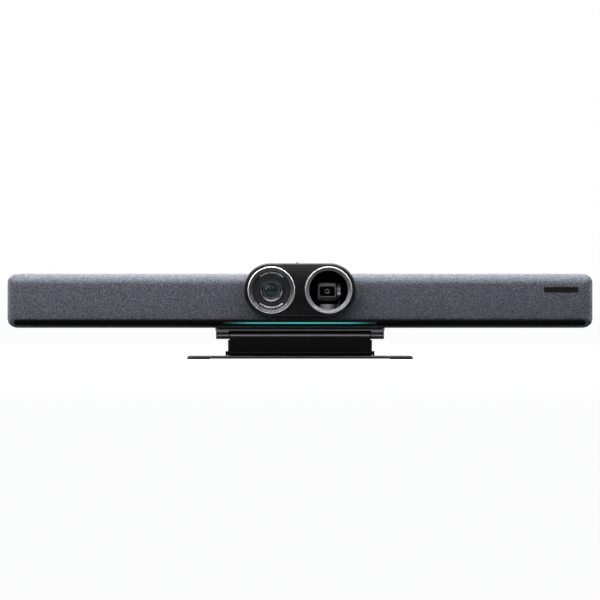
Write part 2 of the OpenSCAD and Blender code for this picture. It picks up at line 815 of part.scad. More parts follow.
socket_gap = 0.15;
socket_proud = 0.4;
socket_y1 = recess_floor_y + socket_proud;
dc_x = 76;
ethernet_x = 50;
hdmi_xs = [24, 2];
usb_a_x = -22;
usb_c_x = -42;
audio_x = -62;
dc_w = 11;
ethernet_w = 16;
ethernet_h = 13.5;
ethernet_hole_w = 11.7;
ethernet_hole_h = 8.2;
ethernet_back_t = 1.4;
hdmi_w = 15.2;
hdmi_h = 5.9;
hdmi_t = 0.5;
usb_a_w = 13.1;
usb_a_h = 5.8;
usb_c_w = 9.6;
usb_c_h = 3.6;
hdmi_tongue_h = 1;
usb_a_tongue_h = 2;
usb_c_tongue_h = 0.75;
audio_w = 8.4;
tongue_share = 0.62;
socket_r = 0.5;

module socket_openings() {
    module hole(x, w, h, r) translate([x, 0, socket_z])
        plate_xz(recess_floor_y - recess_wall - over, recess_floor_y + over)
            round_rect(w + 2 * socket_gap, h + 2 * socket_gap, r);
    hole(dc_x, dc_w, dc_w, socket_r);
    hole(ethernet_x, ethernet_w, ethernet_h, socket_r);
    for (x = hdmi_xs) hole(x, hdmi_w, hdmi_h, socket_r);
    hole(usb_a_x, usb_a_w, usb_a_h, socket_r);
    hole(usb_c_x, usb_c_w, usb_c_h, usb_c_h / 2);
    hole(audio_x, audio_w, audio_w, socket_r);
}

// Shell of a socket with a tongue on its back wall
module socket_shell(w, h, r, wall, tongue_h) {
    difference() {
        plate_xz(board_back_y + fit, socket_y1) round_rect(w, h, r);
        plate_xz(board_back_y + board_t, socket_y1 + over)
            round_rect(w - 2 * wall, h - 2 * wall, r * tongue_share);
    }
    block(-w * tongue_share / 2, w * tongue_share / 2, board_back_y + board_t / 2, socket_y1 - over,
        -tongue_h / 2, tongue_h / 2);
}

module dc_jack() color(soft_black) translate([dc_x, 0, socket_z]) {
    difference() {
        plate_xz(board_back_y + fit, socket_y1) round_rect(dc_w, dc_w, socket_r);
        rod_y(power_bore_r, board_back_y + board_t, socket_y1 + over);
    }
    rod_y(power_pin_r, board_back_y + board_t / 2, socket_y1 - over);
}

module ethernet_port() color(steel_grey) translate([ethernet_x, 0, socket_z]) difference() {
    plate_xz(board_back_y + fit, socket_y1) round_rect(ethernet_w, ethernet_h, socket_r);
    plate_xz(board_back_y + ethernet_back_t, socket_y1 + over)
        square([ethernet_hole_w, ethernet_hole_h], center = true);
}

module hdmi_ports() color(steel_grey) for (x = hdmi_xs) translate([x, 0, socket_z])
    socket_shell(hdmi_w, hdmi_h, hdmi_t, hdmi_t, hdmi_tongue_h);

module usb_ports() color(steel_grey) {
    translate([usb_a_x, 0, socket_z]) socket_shell(usb_a_w, usb_a_h, hdmi_t, hdmi_t, usb_a_tongue_h);
    translate([usb_c_x, 0, socket_z])
        socket_shell(usb_c_w, usb_c_h, (usb_c_h - hdmi_t) / 2, hdmi_t, usb_c_tongue_h);
}

module audio_jack() color(soft_black) translate([audio_x, 0, socket_z]) difference() {
    plate_xz(board_back_y + fit, socket_y1) round_rect(audio_w, audio_w, socket_r);
    rod_y(audio_bore_r, board_back_y + board_t, socket_y1 + over);
}

// Electronics

chip_t = 1.4;
chip_w = 26;
memory_w = 10;
memory_xs = [-62, -46, 46, 62];
chip_rise = 44;
screw_hole_r = 1.6;

module main_board() {
    color(board_green) difference() {
        block(-board_half_w, board_half_w, board_y, board_back_y, board_z0, board_z1);
        board_post_places() rod_y(screw_hole_r, board_y - over, board_back_y + over);
    }
    color(gloss_black) {
        translate([0, 0, board_z0 + chip_rise])
            block(-chip_w / 2, chip_w / 2, board_back_y, board_back_y + chip_t, -chip_w / 2, chip_w / 2);
        for (x = memory_xs) translate([x, 0, board_z0 + chip_rise])
            block(-memory_w / 2, memory_w / 2, board_back_y, board_back_y + chip_t,
                -memory_w / 2, memory_w / 2);
    }
}

sink_w = 76;
sink_h = 24;
sink_base_t = 2.4;
fin_count = 13;
fin_t = 1.4;
sink_reach = 14;

module heat_sink() color(steel_grey) translate([0, board_back_y + chip_t + fit, board_z0 + chip_rise]) {
    block(-sink_w / 2, sink_w / 2, 0, sink_base_t, -sink_h / 2, sink_h / 2);
    pitch = (sink_w - fin_t) / (fin_count - 1);
    for (i = [0:fin_count - 1]) translate([i * pitch - sink_w / 2, 0, 0])
        block(0, fin_t, sink_base_t / 2, sink_reach, -sink_h / 2, sink_h / 2);
}

mic_board_w = 10;
mic_board_h = 14;
mic_board_t = 1.2;
mic_can_w = 4;

module mic_boards() mic_places() translate([0, frame_y + fit, 0]) {
    color(board_green) difference() {
        block(-mic_board_w / 2, mic_board_w / 2, 0, mic_board_t, -mic_board_h / 2, mic_board_h / 2);
        rod_y(mic_hole_r, -over, mic_board_t + over);
    }
    color(steel_grey) block(-mic_can_w / 2, mic_can_w / 2, mic_board_t, mic_board_t + mic_board_t,
        -mic_can_w / 2, mic_can_w / 2);
}

// Speakers, drawn on the right and mirrored

grille_flange_t = 1.2;
grille_flange_w = 3;
driver_flange_t = 2;
grille_back_y = frame_y + fit + grille_flange_t;
driver_y = grille_back_y + fit;
box_y0 = driver_y + driver_flange_t + fit;
box_y1 = box_y0 + box_d;
box_mid_z = bar_mid_z;
box_z0 = box_mid_z - box_h / 2;
box_z1 = box_mid_z + box_h / 2;
driver_x = box_x0 + driver_inset;
port_x = box_x1 - port_inset;
driver_lip = 3;
driver_hole_r = driver_r - driver_lip;

module speaker_grille() {
    half_w = (box_x1 - box_x0) / 2 - window_margin;
    difference() {
        union() {
            grille_opening(-fit, bar_y0 + frame_inset, frame_y + fit + sunk);
            grille_opening(grille_flange_w, frame_y + fit, grille_back_y);
        }
        pitch = 2 * half_w / slot_count;
        translate([(box_x0 + box_x1) / 2, 0, box_mid_z]) for (i = [0:slot_count - 1])
            translate([(i + 1 / 2) * pitch - half_w, 0, 0])
                plate_xz(bar_y0, grille_back_y + over) slot(slot_w, window_h - 2 * window_r);
    }
}
module speaker_grille_right() color(soft_black) speaker_grille();
module speaker_grille_left() color(soft_black) mirror([1, 0, 0]) speaker_grille();

module speaker_box() difference() {
    block(box_x0, box_x1, box_y0, box_y1, box_z0, box_z1);
    block(box_x0 + box_t, box_x1 - box_t, box_y0 + box_t, box_y1 - box_t, box_z0 + box_t, box_z1 - box_t);
    translate([driver_x, 0, box_mid_z]) rod_y(driver_hole_r + fit, box_y0 - over, box_y0 + box_t + over);
    translate([port_x, 0, box_mid_z]) rod_y(port_r + fit, box_y0 - over, box_y0 + box_t + over);
}
module speaker_box_right() color(satin_black) speaker_box();
module speaker_box_left() color(satin_black) mirror([1, 0, 0]) speaker_box();

port_t = 1.6;
port_l = 34;
module bass_port() translate([port_x, 0, box_mid_z]) difference() {
    union() {
        rod_y(port_r, driver_y + fit, box_y0 + port_l);
        rod_y(port_r + driver_lip, driver_y + fit, box_y0 - fit);
    }
    rod_y(port_r - port_t, driver_y - over, box_y0 + port_l + over);
}
module bass_port_right() color(satin_black) bass_port();
module bass_port_left() color(satin_black) mirror([1, 0, 0]) bass_port();

basket_l = 17;
basket_t = 1.2;
magnet_r = 15;
magnet_t = 12;
coil_r = 6.8;
coil_t = 0.7;
coil_gap = 0.5;
cone_gap = 0.5;
cone_edge_r = driver_hole_r - basket_t - cone_gap;
cone_t = 0.8;
cone_d = 8;
coil_l = 11;
basket_y = driver_y + driver_flange_t + cone_travel;

module driver_frame() translate([driver_x, 0, box_mid_z]) difference() {
    union() {
        turned_y() polygon([[driver_hole_r - basket_t, driver_y + fit], [driver_r, driver_y + fit],
            [driver_r, driver_y + driver_flange_t], [driver_hole_r - fit, driver_y + driver_flange_t],
            [driver_hole_r - fit, basket_y + cone_travel], [magnet_r, basket_y + basket_l],
            [coil_r - coil_t - coil_gap, basket_y + basket_l],
            [coil_r - coil_t - coil_gap, basket_y + basket_l - basket_t],
            [magnet_r - basket_t, basket_y + basket_l - basket_t],
            [driver_hole_r - basket_t, basket_y + cone_travel]]);
        rod_y(magnet_r, basket_y + basket_l - sunk, basket_y + basket_l + magnet_t);
    }
    tube_y(coil_r + coil_gap, coil_r - coil_t - coil_gap, driver_y, basket_y + basket_l + magnet_t / 2);
}
module driver_frame_right() color(steel_grey) driver_frame();
module driver_frame_left() color(steel_grey) mirror([1, 0, 0]) driver_frame();

module cone() translate([driver_x, 0, box_mid_z]) {
    cone_y = driver_y + driver_flange_t + cone_travel / 2;
    turned_y() polygon([[cone_edge_r, cone_y], [cone_edge_r, cone_y + cone_t],
        [coil_r, cone_y + cone_d + cone_t], [coil_r, cone_y + cone_d + coil_l],
        [coil_r - coil_t, cone_y + cone_d + coil_l], [coil_r - coil_t, cone_y + cone_d + cone_t],
        [0, cone_y + cone_d - cone_t], [0, cone_y + cone_d - 2 * cone_t], [coil_r, cone_y + cone_d]]);
}
module cone_right() color("#1b1c1f") cone();
module cone_left() color("#1b1c1f") mirror([1, 0, 0]) cone();

// Pod

pod_flange_w = 3.4;
pod_flange_t = 2.4;
spigot_r = ring_r - ring_rim / 2;
spigot_t = 0.9;
cable_hole_w = 40;
cable_hole_h = 14;
pod_rear_chamfer = 2;

// Solid with a pill outline and a chamfer towards -y, from y0 to y1, about the pod's middle
module chamfered_pill(r, y0, y1, chamfer) translate([0, 0, pod_z]) {
    for (s = [-1, 1]) translate([s * pod_half_span, 0, 0]) turned_y()
        polygon([[0, y0], [r - chamfer, y0], [r, y0 + chamfer], [r, y1], [0, y1]]);
    rotate([90, 0, 90]) linear_extrude(2 * pod_half_span, center = true)
        polygon([[y0, r - chamfer], [y0 + chamfer, r], [y1, r], [y1, -r],
            [y0 + chamfer, -r], [y0, chamfer - r]]);
}

module pod_body() translate([0, pod_y0 + fit + pod_y1, 0]) mirror([0, 1, 0])
    chamfered_pill(pod_r, pod_y0 + fit, pod_y1, pod_rear_chamfer);

button_y = fascia_y + button_setback;
button_slot_gap = 0.3;
button_flange = 1.2;
button_flange_t = 1.1;
button_stem_r = 1.5;
switch_t = 1.8;
switch_w = 6;
switch_board_w = 17;
switch_board_d = 10;
stem_l = 3;
button_top_z = pod_z + pod_r + button_proud;
pod_roof_z = pod_z + pod_r - pod_t;
button_flange_z1 = pod_roof_z - button_slot_gap;
button_flange_z0 = button_flange_z1 - button_flange_t;
switch_top_z = button_flange_z0 - stem_l - button_travel - fit;
switch_board_z1 = switch_top_z - switch_t;
switch_post_r = 1.8;

module button_outline(grow) {
    rotate([0, 0, 90]) pill((button_l - button_w) / 2, button_w / 2 + grow);
}

module pod_shell() color(satin_black) difference() {
    union() {
        difference() {
            pod_body();
            pod_prism(-pod_t, pod_y0, pod_y1 - pod_t);
            translate([0, 0, pod_z]) plate_xz(pod_y1 - pod_t - over, pod_y1 + over)
                round_rect(cable_hole_w, cable_hole_h, recess_r);
        }
        difference() {
            intersection() {
                pod_prism(pod_flange_w, frame_y + fit, frame_y + fit + pod_flange_t);
                bar_solid(frame_in + fit);
            }
            pod_prism(-pod_t / 2, bar_y0, seam_y);
            guide_keep_out();
        }
        for (s = [-1, 1]) translate([button_x + s * (switch_board_w / 2 - switch_post_r), button_y, 0])
            rod_z(switch_post_r, switch_board_z1, pod_roof_z + sunk);
    }
    translate([button_x, button_y, pod_roof_z - over]) linear_extrude(pod_t + 2 * over)
        button_outline(button_slot_gap);
}

// Space under the pod that the light board and its posts take
module guide_keep_out() {
    block(-bar_w / 2, bar_w / 2, bar_y0, seam_y, bar_z0, light_board_top_z + fit);
}

module pod_fascia() color(satin_black) difference() {
    chamfered_pill(pod_r, fascia_y, pod_y0, fascia_chamfer);
    for (s = [-1, 1]) translate([s * lens_x, 0, lens_z])
        rod_y(spigot_r + fit, fascia_y - over, pod_y0 + over);
}

module power_button() color(soft_black) translate([button_x, button_y, 0]) {
    translate([0, 0, button_flange_z0]) linear_extrude(button_top_z - button_flange_z0) button_outline(0);
    translate([0, 0, button_flange_z0]) linear_extrude(button_flange_t) button_outline(button_flange);
    rod_z(button_stem_r, button_flange_z0 - stem_l, button_flange_z0 + sunk);
}

module power_switch() translate([button_x, button_y, 0]) {
    color(board_green) block(-switch_board_w / 2, switch_board_w / 2, -switch_board_d / 2,
        switch_board_d / 2, switch_board_z1 - board_t, switch_board_z1 - fit);
    color(soft_black) block(-switch_w / 2, switch_w / 2, -switch_w / 2, switch_w / 2,
        switch_board_z1 - fit, switch_top_z);
}

ring_round = 0.5;

// Ring with a spigot in the fascia's opening
module lens_ring() turned_y()
    polygon([[ring_r - ring_rim, ring_y], [ring_r - ring_round, ring_y], [ring_r, ring_y + ring_round],
        [ring_r, fascia_y - press], [spigot_r, fascia_y - press], [spigot_r, pod_y0],
        [spigot_r - spigot_t, pod_y0],
        [spigot_r - spigot_t, ring_y + ring_rim], [ring_r - ring_rim, ring_y + ring_rim]]);

funnel_r = spigot_r - spigot_t - fit;
funnel_lip_r = ring_r - ring_rim - fit;
funnel_y0 = ring_y + ring_round;
funnel_y1 = funnel_y0 + funnel_d;
pane_t = 1.5;
pane_gap = 0.2;
funnel_skirt_t = 2;
bay_y0 = funnel_y1 + pane_gap + pane_t + pane_gap;
funnel_end_y = bay_y0 - fit;

// Outer outline of a funnel, from its skirt forward to its lip
function funnel_outside() = [[funnel_r - funnel_skirt_t, funnel_end_y], [funnel_r, funnel_end_y],
    [funnel_r, ring_y + ring_rim + fit], [funnel_lip_r, ring_y + ring_rim + fit], [funnel_lip_r, funnel_y0]];

stair_share = 0.35;
funnel_lip_w = 0.5;

// The steps down the funnel's inside, from its lip to its throat
function funnel_stair(n) = [for (i = [0:n - 1], k = [0, 1])
    [funnel_lip_r - funnel_lip_w - (funnel_lip_r - funnel_lip_w - funnel_throat_r) * (i + k) / n,
        funnel_y0 + funnel_d * i / n + (funnel_d / n) * stair_share * k]];

module wide_lens_ring() color(ring_silver) translate([-lens_x, 0, lens_z]) lens_ring();
module window_ring() color(ring_silver) translate([lens_x, 0, lens_z]) lens_ring();

module wide_lens_funnel() color(soft_black) translate([-lens_x, 0, lens_z]) turned_y()
    polygon(concat(funnel_outside(), funnel_stair(funnel_steps),
        [[funnel_throat_r, funnel_y1], [funnel_r - funnel_skirt_t, funnel_y1]]));

module window_funnel() color(funnel_grey) translate([lens_x, 0, lens_z]) turned_y()
    polygon(concat(funnel_outside(), [[funnel_lip_r - funnel_lip_w, funnel_y0],
        [funnel_throat_r, funnel_y1 - funnel_lip_w],
        [funnel_throat_r, funnel_y1], [funnel_r - funnel_skirt_t, funnel_y1]]));

pane_r = funnel_r - funnel_skirt_t - fit;
module window_glass() color([0.5, 0.55, 0.6, 0.4]) translate([lens_x, 0, lens_z])
    rod_y(pane_r, funnel_y1 + pane_gap, funnel_y1 + pane_gap + pane_t);

// Wide camera, turned about its own axis

plate_y = funnel_y1 + fit;
plate_t = 2;
nose_y = plate_y - nose_proud;
seat_d = 2.6;
seat_y = plate_y + seat_d;
cup_margin = 1.2;
cup_r = retainer_r + cup_margin;
glass_t = 4.2;
retainer_t = 1.4;
barrel_end_y = plate_y + barrel_l;
rear_glass_r = 8;
rear_glass_t = 3.4;
rear_seat_share = 0.72;
rear_glass_y = plate_y + barrel_l * rear_seat_share;
wall_step = 1.5;

module wide_lens_barrel() color(soft_black) translate([-lens_x, 0, lens_z]) difference() {
    turned_y() polygon([[pane_r, plate_y], [pane_r, plate_y + plate_t], [barrel_r, plate_y + plate_t],
        [barrel_r, barrel_end_y], [rear_glass_r - wall_step, barrel_end_y],
        [rear_glass_r - wall_step, rear_glass_y + rear_glass_t + fit],
        [rear_glass_r + press, rear_glass_y + rear_glass_t + fit], [rear_glass_r + press, seat_y + glass_t],
        [retainer_r + press, seat_y + glass_t], [retainer_r + press, seat_y - retainer_t],
        [cup_r, seat_y - retainer_t], [nose_r, nose_y], [barrel_r, nose_y], [barrel_r, plate_y]]);
}

module wide_lens_retainer() color(ring_silver) translate([-lens_x, 0, lens_z]) turned_y()
    polygon([[glass_r, seat_y - retainer_t], [retainer_r, seat_y - retainer_t], [retainer_r, seat_y - fit],
        [glass_r, seat_y - fit]]);

module wide_front_element() color(lens_tint) translate([-lens_x, 0, lens_z]) {
    rod_y(retainer_r - fit, seat_y, seat_y + glass_t - fit);
    intersection() {
        cap_y = seat_y - (glass_curve_r - sqrt(pow(glass_curve_r, 2) - pow(glass_r - fit, 2)));
        translate([0, cap_y + glass_curve_r, 0]) sphere(glass_curve_r);
        rod_y(glass_r - fit, cap_y - over, seat_y + sunk);
    }
}

module wide_rear_element() color(lens_tint) translate([-lens_x, 0, lens_z])
    rod_y(rear_glass_r, rear_glass_y, rear_glass_y + rear_glass_t);

sensor_board_w = 26;
sensor_t = 1;
sensor_share = 0.5;

module wide_sensor_board() translate([-lens_x, barrel_end_y + fit, lens_z]) {
    color(board_green) block(-sensor_board_w / 2, sensor_board_w / 2, 0, board_t,
        -sensor_board_w / 2, sensor_board_w / 2);
    color(gloss_black) block(-rear_glass_r * sensor_share, rear_glass_r * sensor_share, -sensor_t - fit, 0,
        -rear_glass_r * sensor_share, rear_glass_r * sensor_share);
}

// Gimbal camera

pan_x = lens_x - gimbal_shift;
pan_y = fascia_y + gimbal_setback;
tilt_z = lens_z - gimbal_drop;
bay_grow = 0.9;
bay_r = funnel_r + bay_grow;
bay_t = 1.2;
bay_y1 = pod_y1 - pod_t - fit;
bay_floor_rise = 2.6;
bay_floor_z = lens_z - bay_r + bay_floor_rise;
bay_lip_r = funnel_throat_r + fit;
stator_r = 7;
drum_top_z = tilt_z - drum_top_drop;
drum_z = drum_top_z - drum_h;
stator_gap = 0.3;
stator_z1 = drum_z - stator_gap;
pan_shaft_r = 2;
pan_shaft_l = 1.6;
tilt_shaft_r = 2.5;
motor_x = head_w / 2 + head_gap;
motor_r = head_h / 2 - fit;
tilt_shaft_l = 2.6;

module gimbal_bay() color(soft_black) translate([lens_x, 0, lens_z]) {
    difference() {
        rod_y(bay_r, bay_y0, bay_y1);
        rod_y(bay_lip_r, bay_y0 - over, bay_y0 + bay_t + over);
        rod_y(bay_r - bay_t, bay_y0 + bay_t, bay_y1 - bay_t);
    }
    intersection() {
        rod_y(bay_r - sunk, bay_y0 + bay_t / 2, bay_y1 - bay_t / 2);
        block(-bay_r, bay_r, bay_y0, bay_y1, -bay_r, bay_floor_z - lens_z);
    }
}

module pan_stator() color(steel_grey) translate([pan_x, pan_y, 0]) difference() {
    rod_z(stator_r, bay_floor_z + press, stator_z1);
    rod_z(pan_shaft_r + running, stator_z1 - pan_shaft_l - fit, stator_z1 + over);
}

arm_x0 = 4;
arm_half_d = 4.6;
arm_t = 3.6;

module pan_drum() color(satin_black) translate([pan_x, pan_y, 0]) difference() {
    union() {
        rod_z(drum_r, drum_z, drum_top_z);
        rod_z(pan_shaft_r, drum_z - stator_gap - pan_shaft_l, drum_z + sunk);
    }
    block(arm_x0 - fit, drum_r + over, -arm_half_d - fit, arm_half_d + fit,
        drum_top_z - arm_t - fit, drum_top_z + over);
}
arm_in_share = 0.2;
arm_out_share = 0.86;
arm_seat = 1.6;

module gimbal_arm() color(satin_black) translate([pan_x, pan_y, 0]) {
    arm_x1 = motor_x + tilt_motor_t * arm_out_share;
    block(arm_x0, arm_x1, -arm_half_d, arm_half_d, drum_top_z - arm_t, drum_top_z);
    block(motor_x + tilt_motor_t * arm_in_share, arm_x1, -arm_half_d, arm_half_d,
        drum_top_z - arm_t, tilt_z - motor_r + arm_seat);
}

module tilt_motor() color(steel_grey) translate([pan_x, pan_y, tilt_z]) difference() {
    rod_x(motor_r, motor_x, motor_x + tilt_motor_t);
    rod_x(tilt_shaft_r + running, motor_x - over, motor_x + tilt_shaft_l + fit);
    block(motor_x + tilt_motor_t * arm_in_share - fit, motor_x + tilt_motor_t * arm_out_share + fit,
        -arm_half_d - fit, arm_half_d + fit, -motor_r - over, arm_seat + fit - motor_r);
}

eye_t = 1;
eye_r = 2.4;
head_lens_l = 9;

module head_shell() color(satin_black) translate([pan_x, pan_y, tilt_z]) difference() {
    union() {
        translate([0, (head_back - head_front) / 2, 0])
            round_block(head_w, head_front + head_back, head_h, head_edge_r, head_edge_r, head_edge_r);
        rod_x(tilt_shaft_r, head_w / 2 - head_edge_r, motor_x + tilt_shaft_l);
    }
    plate_xz(-head_front - over, eye_t - head_front) round_rect(eye_w, eye_h, eye_r);
    rod_y(eye_lens_r + fit, -head_front - over, head_lens_l + eye_t + fit - head_front);
}

eye_hole_share = 0.8;

module head_window() color(gloss_black) translate([pan_x, pan_y, tilt_z]) difference() {
    plate_xz(-head_front, eye_t - fit - head_front) round_rect(eye_w - 2 * fit, eye_h - 2 * fit, eye_r);
    rod_y(eye_lens_r * eye_hole_share, -head_front - over, eye_t - head_front + over);
}

module head_lens() color(lens_tint) translate([pan_x, pan_y, tilt_z])
    rod_y(eye_lens_r, eye_t - head_front, eye_t - head_front + head_lens_l);

base_plate();
base_pads();
lower_hinge_pin();
riser_panel();
riser_end_caps();
tilt_hinge_pin();
tilt_friction_bushes();
mount_leaf();
tilt_knuckle_left();
tilt_knuckle_right();
leaf_screws();
rear_housing();
front_frame();
fabric_cover();
lower_strip();
light_guide();
light_board();
label_plate();
speaker_grille_left();
speaker_grille_right();
speaker_box_left();
speaker_box_right();
driver_frame_left();
driver_frame_right();
cone_left();
cone_right();
bass_port_left();
bass_port_right();
mic_boards();
pod_shell();
pod_fascia();
power_button();
power_switch();
wide_lens_ring();
wide_lens_funnel();
wide_lens_barrel();
wide_lens_retainer();
wide_front_element();
wide_rear_element();
wide_sensor_board();
window_ring();
window_funnel();
window_glass();
gimbal_bay();
pan_stator();
pan_drum();
gimbal_arm();
tilt_motor();
head_shell();
head_window();
head_lens();
main_board();
heat_sink();
dc_jack();
ethernet_port();
hdmi_ports();
usb_ports();
audio_jack();
housing_screws();
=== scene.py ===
"""Conference camera with a cloth-wrapped bar, a twin camera pod and a hinged stand.

Everything is in metres, Z up, and the bar faces -Y. Sizes below are written in millimetres and
turned into metres by mm().
"""
import math

import bmesh
import bpy
import numpy as np
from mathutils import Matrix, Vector


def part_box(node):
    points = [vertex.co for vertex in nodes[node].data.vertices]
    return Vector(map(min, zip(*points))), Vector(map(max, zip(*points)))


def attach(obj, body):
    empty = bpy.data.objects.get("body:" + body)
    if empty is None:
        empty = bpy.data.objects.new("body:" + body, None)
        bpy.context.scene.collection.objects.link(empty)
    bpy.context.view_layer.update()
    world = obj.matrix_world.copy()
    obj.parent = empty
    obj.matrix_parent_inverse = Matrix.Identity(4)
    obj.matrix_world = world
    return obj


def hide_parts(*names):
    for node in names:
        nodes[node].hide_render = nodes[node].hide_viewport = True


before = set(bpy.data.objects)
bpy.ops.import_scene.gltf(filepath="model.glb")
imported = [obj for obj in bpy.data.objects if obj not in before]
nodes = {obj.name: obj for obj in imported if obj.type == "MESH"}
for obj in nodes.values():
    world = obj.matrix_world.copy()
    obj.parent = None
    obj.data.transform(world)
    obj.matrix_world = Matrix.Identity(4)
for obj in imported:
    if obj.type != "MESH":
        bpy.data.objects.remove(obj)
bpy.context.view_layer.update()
scene = bpy.context.scene


def mm(value):
    return value * 0.001


# Places taken from the part, in millimetres.
BAR_END, BAR_FRONT, BAR_REAR, BAR_FLOOR, BAR_TOP = 429.0, -27.0, 41.0, 45.8, 125.3
LONG_R, END_R, UPRIGHT_R = 16, 15, 12
SEAM_Y = 14.0
POD_SPAN, POD_R, POD_Z = 43.4, 39.0, 101.3
LENS_X, EYE_Z = 41.8, 101.0
LENS, EYE = (-LENS_X, EYE_Z), (LENS_X, EYE_Z)
STRIP_HALF, STRIP_R, STRIP_Z = 413.45, 4.55, 53.45
LABEL = (381.8, 101.9, 50.0, 7.5)
PAN_X, PAN_Y, TILT_Z = 39.8, -9.2, 99.5
HINGE_Y, LOWER_Z, UPPER_Z, PIN_R = 33.5, 7.8, 34.5, 3.2
WHITE = (1, 1, 1, 1)


# surface building blocks
class Net:
    """Builds one surface recipe, with the inputs of each step given by name or number."""

    def __init__(self, tree):
        self.tree = tree

    def add(self, kind, inputs=None, **settings):
        node = self.tree.nodes.new(kind)
        node.location = (220 * (len(self.tree.nodes) % 9), -200 * (len(self.tree.nodes) // 9))
        for key, value in settings.items():
            setattr(node, key, value)
        for key, value in (inputs or {}).items():
            self.feed(node.inputs[key], value)
        return node

    def first(self, kind, inputs=None, **settings):
        return self.add(kind, inputs, **settings).outputs[0]

    def feed(self, socket, value):
        if isinstance(value, bpy.types.NodeSocket):
            self.tree.links.new(value, socket)
        else:
            socket.default_value = value

    def math(self, operation, a, b=0.0, c=0.0, clamp=False):
        return self.first("ShaderNodeMath", {0: a, 1: b, 2: c}, operation=operation, use_clamp=clamp)

    def times(self, a, b):
        return self.math("MULTIPLY", a, b)

    def vector(self, operation, a, b=(0, 0, 0), result="Vector"):
        return self.add("ShaderNodeVectorMath", {0: a, 1: b}, operation=operation).outputs[result]

    def parts(self, vector):
        return self.add("ShaderNodeSeparateXYZ", {0: vector}).outputs

    def combine(self, x=0.0, y=0.0, z=0.0):
        return self.first("ShaderNodeCombineXYZ", {0: x, 1: y, 2: z})

    def grey(self, value):
        return self.combine(value, value, value)

    def between(self, value, low, high, out_low=0.0, out_high=1.0, smooth=False):
        sizes = {"Value": value, "From Min": low, "From Max": high, "To Min": out_low, "To Max": out_high}
        kind = "SMOOTHSTEP" if smooth else "LINEAR"
        return self.add("ShaderNodeMapRange", sizes, interpolation_type=kind).outputs["Result"]

    def mix(self, share, a, b, blend="MIX"):
        node = self.add("ShaderNodeMix", data_type="RGBA", blend_type=blend)
        for index, value in ((0, share), (6, a), (7, b)):
            self.feed(node.inputs[index], value)
        return node.outputs[2]

    def noise(self, vector, scale, detail=2.0, rough=0.5):
        sizes = {"Vector": vector, "Scale": scale, "Detail": detail, "Roughness": rough}
        return self.first("ShaderNodeTexNoise", sizes)

    def bump(self, height, distance, normal=None):
        node = self.add("ShaderNodeBump", {"Height": height, "Distance": distance, "Strength": 1.0})
        if normal is not None:
            self.feed(node.inputs["Normal"], normal)
        return node.outputs[0]

    def blend(self, share, a, b):
        return self.first("ShaderNodeMixShader", {0: share, 1: a, 2: b})

    def group(self, tree, **inputs):
        node = self.add("ShaderNodeGroup", node_tree=tree)
        for key, value in inputs.items():
            self.feed(node.inputs[key.replace("_", " ")], value)
        return node.outputs


def kind_of(value):
    """The kind of input that takes a value. A word is the kind itself."""
    if isinstance(value, str):
        return value
    if isinstance(value, tuple):
        return "Color" if len(value) == 4 else "Vector"
    return "Int" if isinstance(value, int) else "Float"


def add_inputs(tree, inputs):
    keys = {}
    for label, value in inputs.items():
        kind = "NodeSocket" + kind_of(value)
        socket = tree.interface.new_socket(label, in_out="INPUT", socket_type=kind)
        if not isinstance(value, str):
            socket.default_value = value
        keys[label] = socket.identifier
    return keys


def new_group(name, recipe, inputs):
    """A shared effect, from a recipe that gives back its results by name."""
    tree = bpy.data.node_groups.new(name, "ShaderNodeTree")
    add_inputs(tree, inputs)
    net = Net(tree)
    results = recipe(net, net.add("NodeGroupInput").outputs)
    for label in results:
        kind = "Color" if label == "Color" else "Float"
        tree.interface.new_socket(label, in_out="OUTPUT", socket_type="NodeSocket" + kind)
    net.add("NodeGroupOutput", results)
    return tree


def grain(net, given):
    """Moulded or sprayed surface: a fine texture with slow changes of tone under it."""
    place, size = given["Place"], given["Grain Size"]
    slow = net.noise(place, 55.0, 3.0, 0.55)
    speck = net.noise(place, net.math("DIVIDE", 0.4, size), 1.0)
    drift = net.between(slow, 0.3, 0.7, -1.0, 1.0)
    fleck = net.between(speck, 0.3, 0.7, -0.5, 0.5)
    half = net.times(given["Tone Change"], 0.5)
    return {"Tone": net.math("MULTIPLY_ADD", net.math("ADD", drift, fleck), half, 1.0),
            "Gloss": net.between(net.math("ADD", slow, speck), 0.6, 1.4),
            "Height": net.noise(place, net.math("DIVIDE", 1.0, size), 3.0, 0.6)}


def turned_rings(net, given):
    """Fine rings left by turning, round an axis that runs front to back."""
    flat = net.vector("MULTIPLY", net.vector("SUBTRACT", given["Place"], given["Centre"]), (1, 0, 1))
    turns = net.math("DIVIDE", net.vector("LENGTH", flat, result="Value"), given["Pitch"])
    wave = net.math("SINE", net.times(turns, 2 * math.pi))
    uneven = net.noise(net.combine(turns), 0.37, 2.0)
    stagger = net.noise(given["Place"], 240.0, 1.0)
    return {"Height": net.math("MULTIPLY_ADD", wave, 0.5, net.times(uneven, 0.8)),
            "Tone": net.between(net.math("ADD", uneven, stagger), 0.6, 1.4, 0.85, 1.15)}


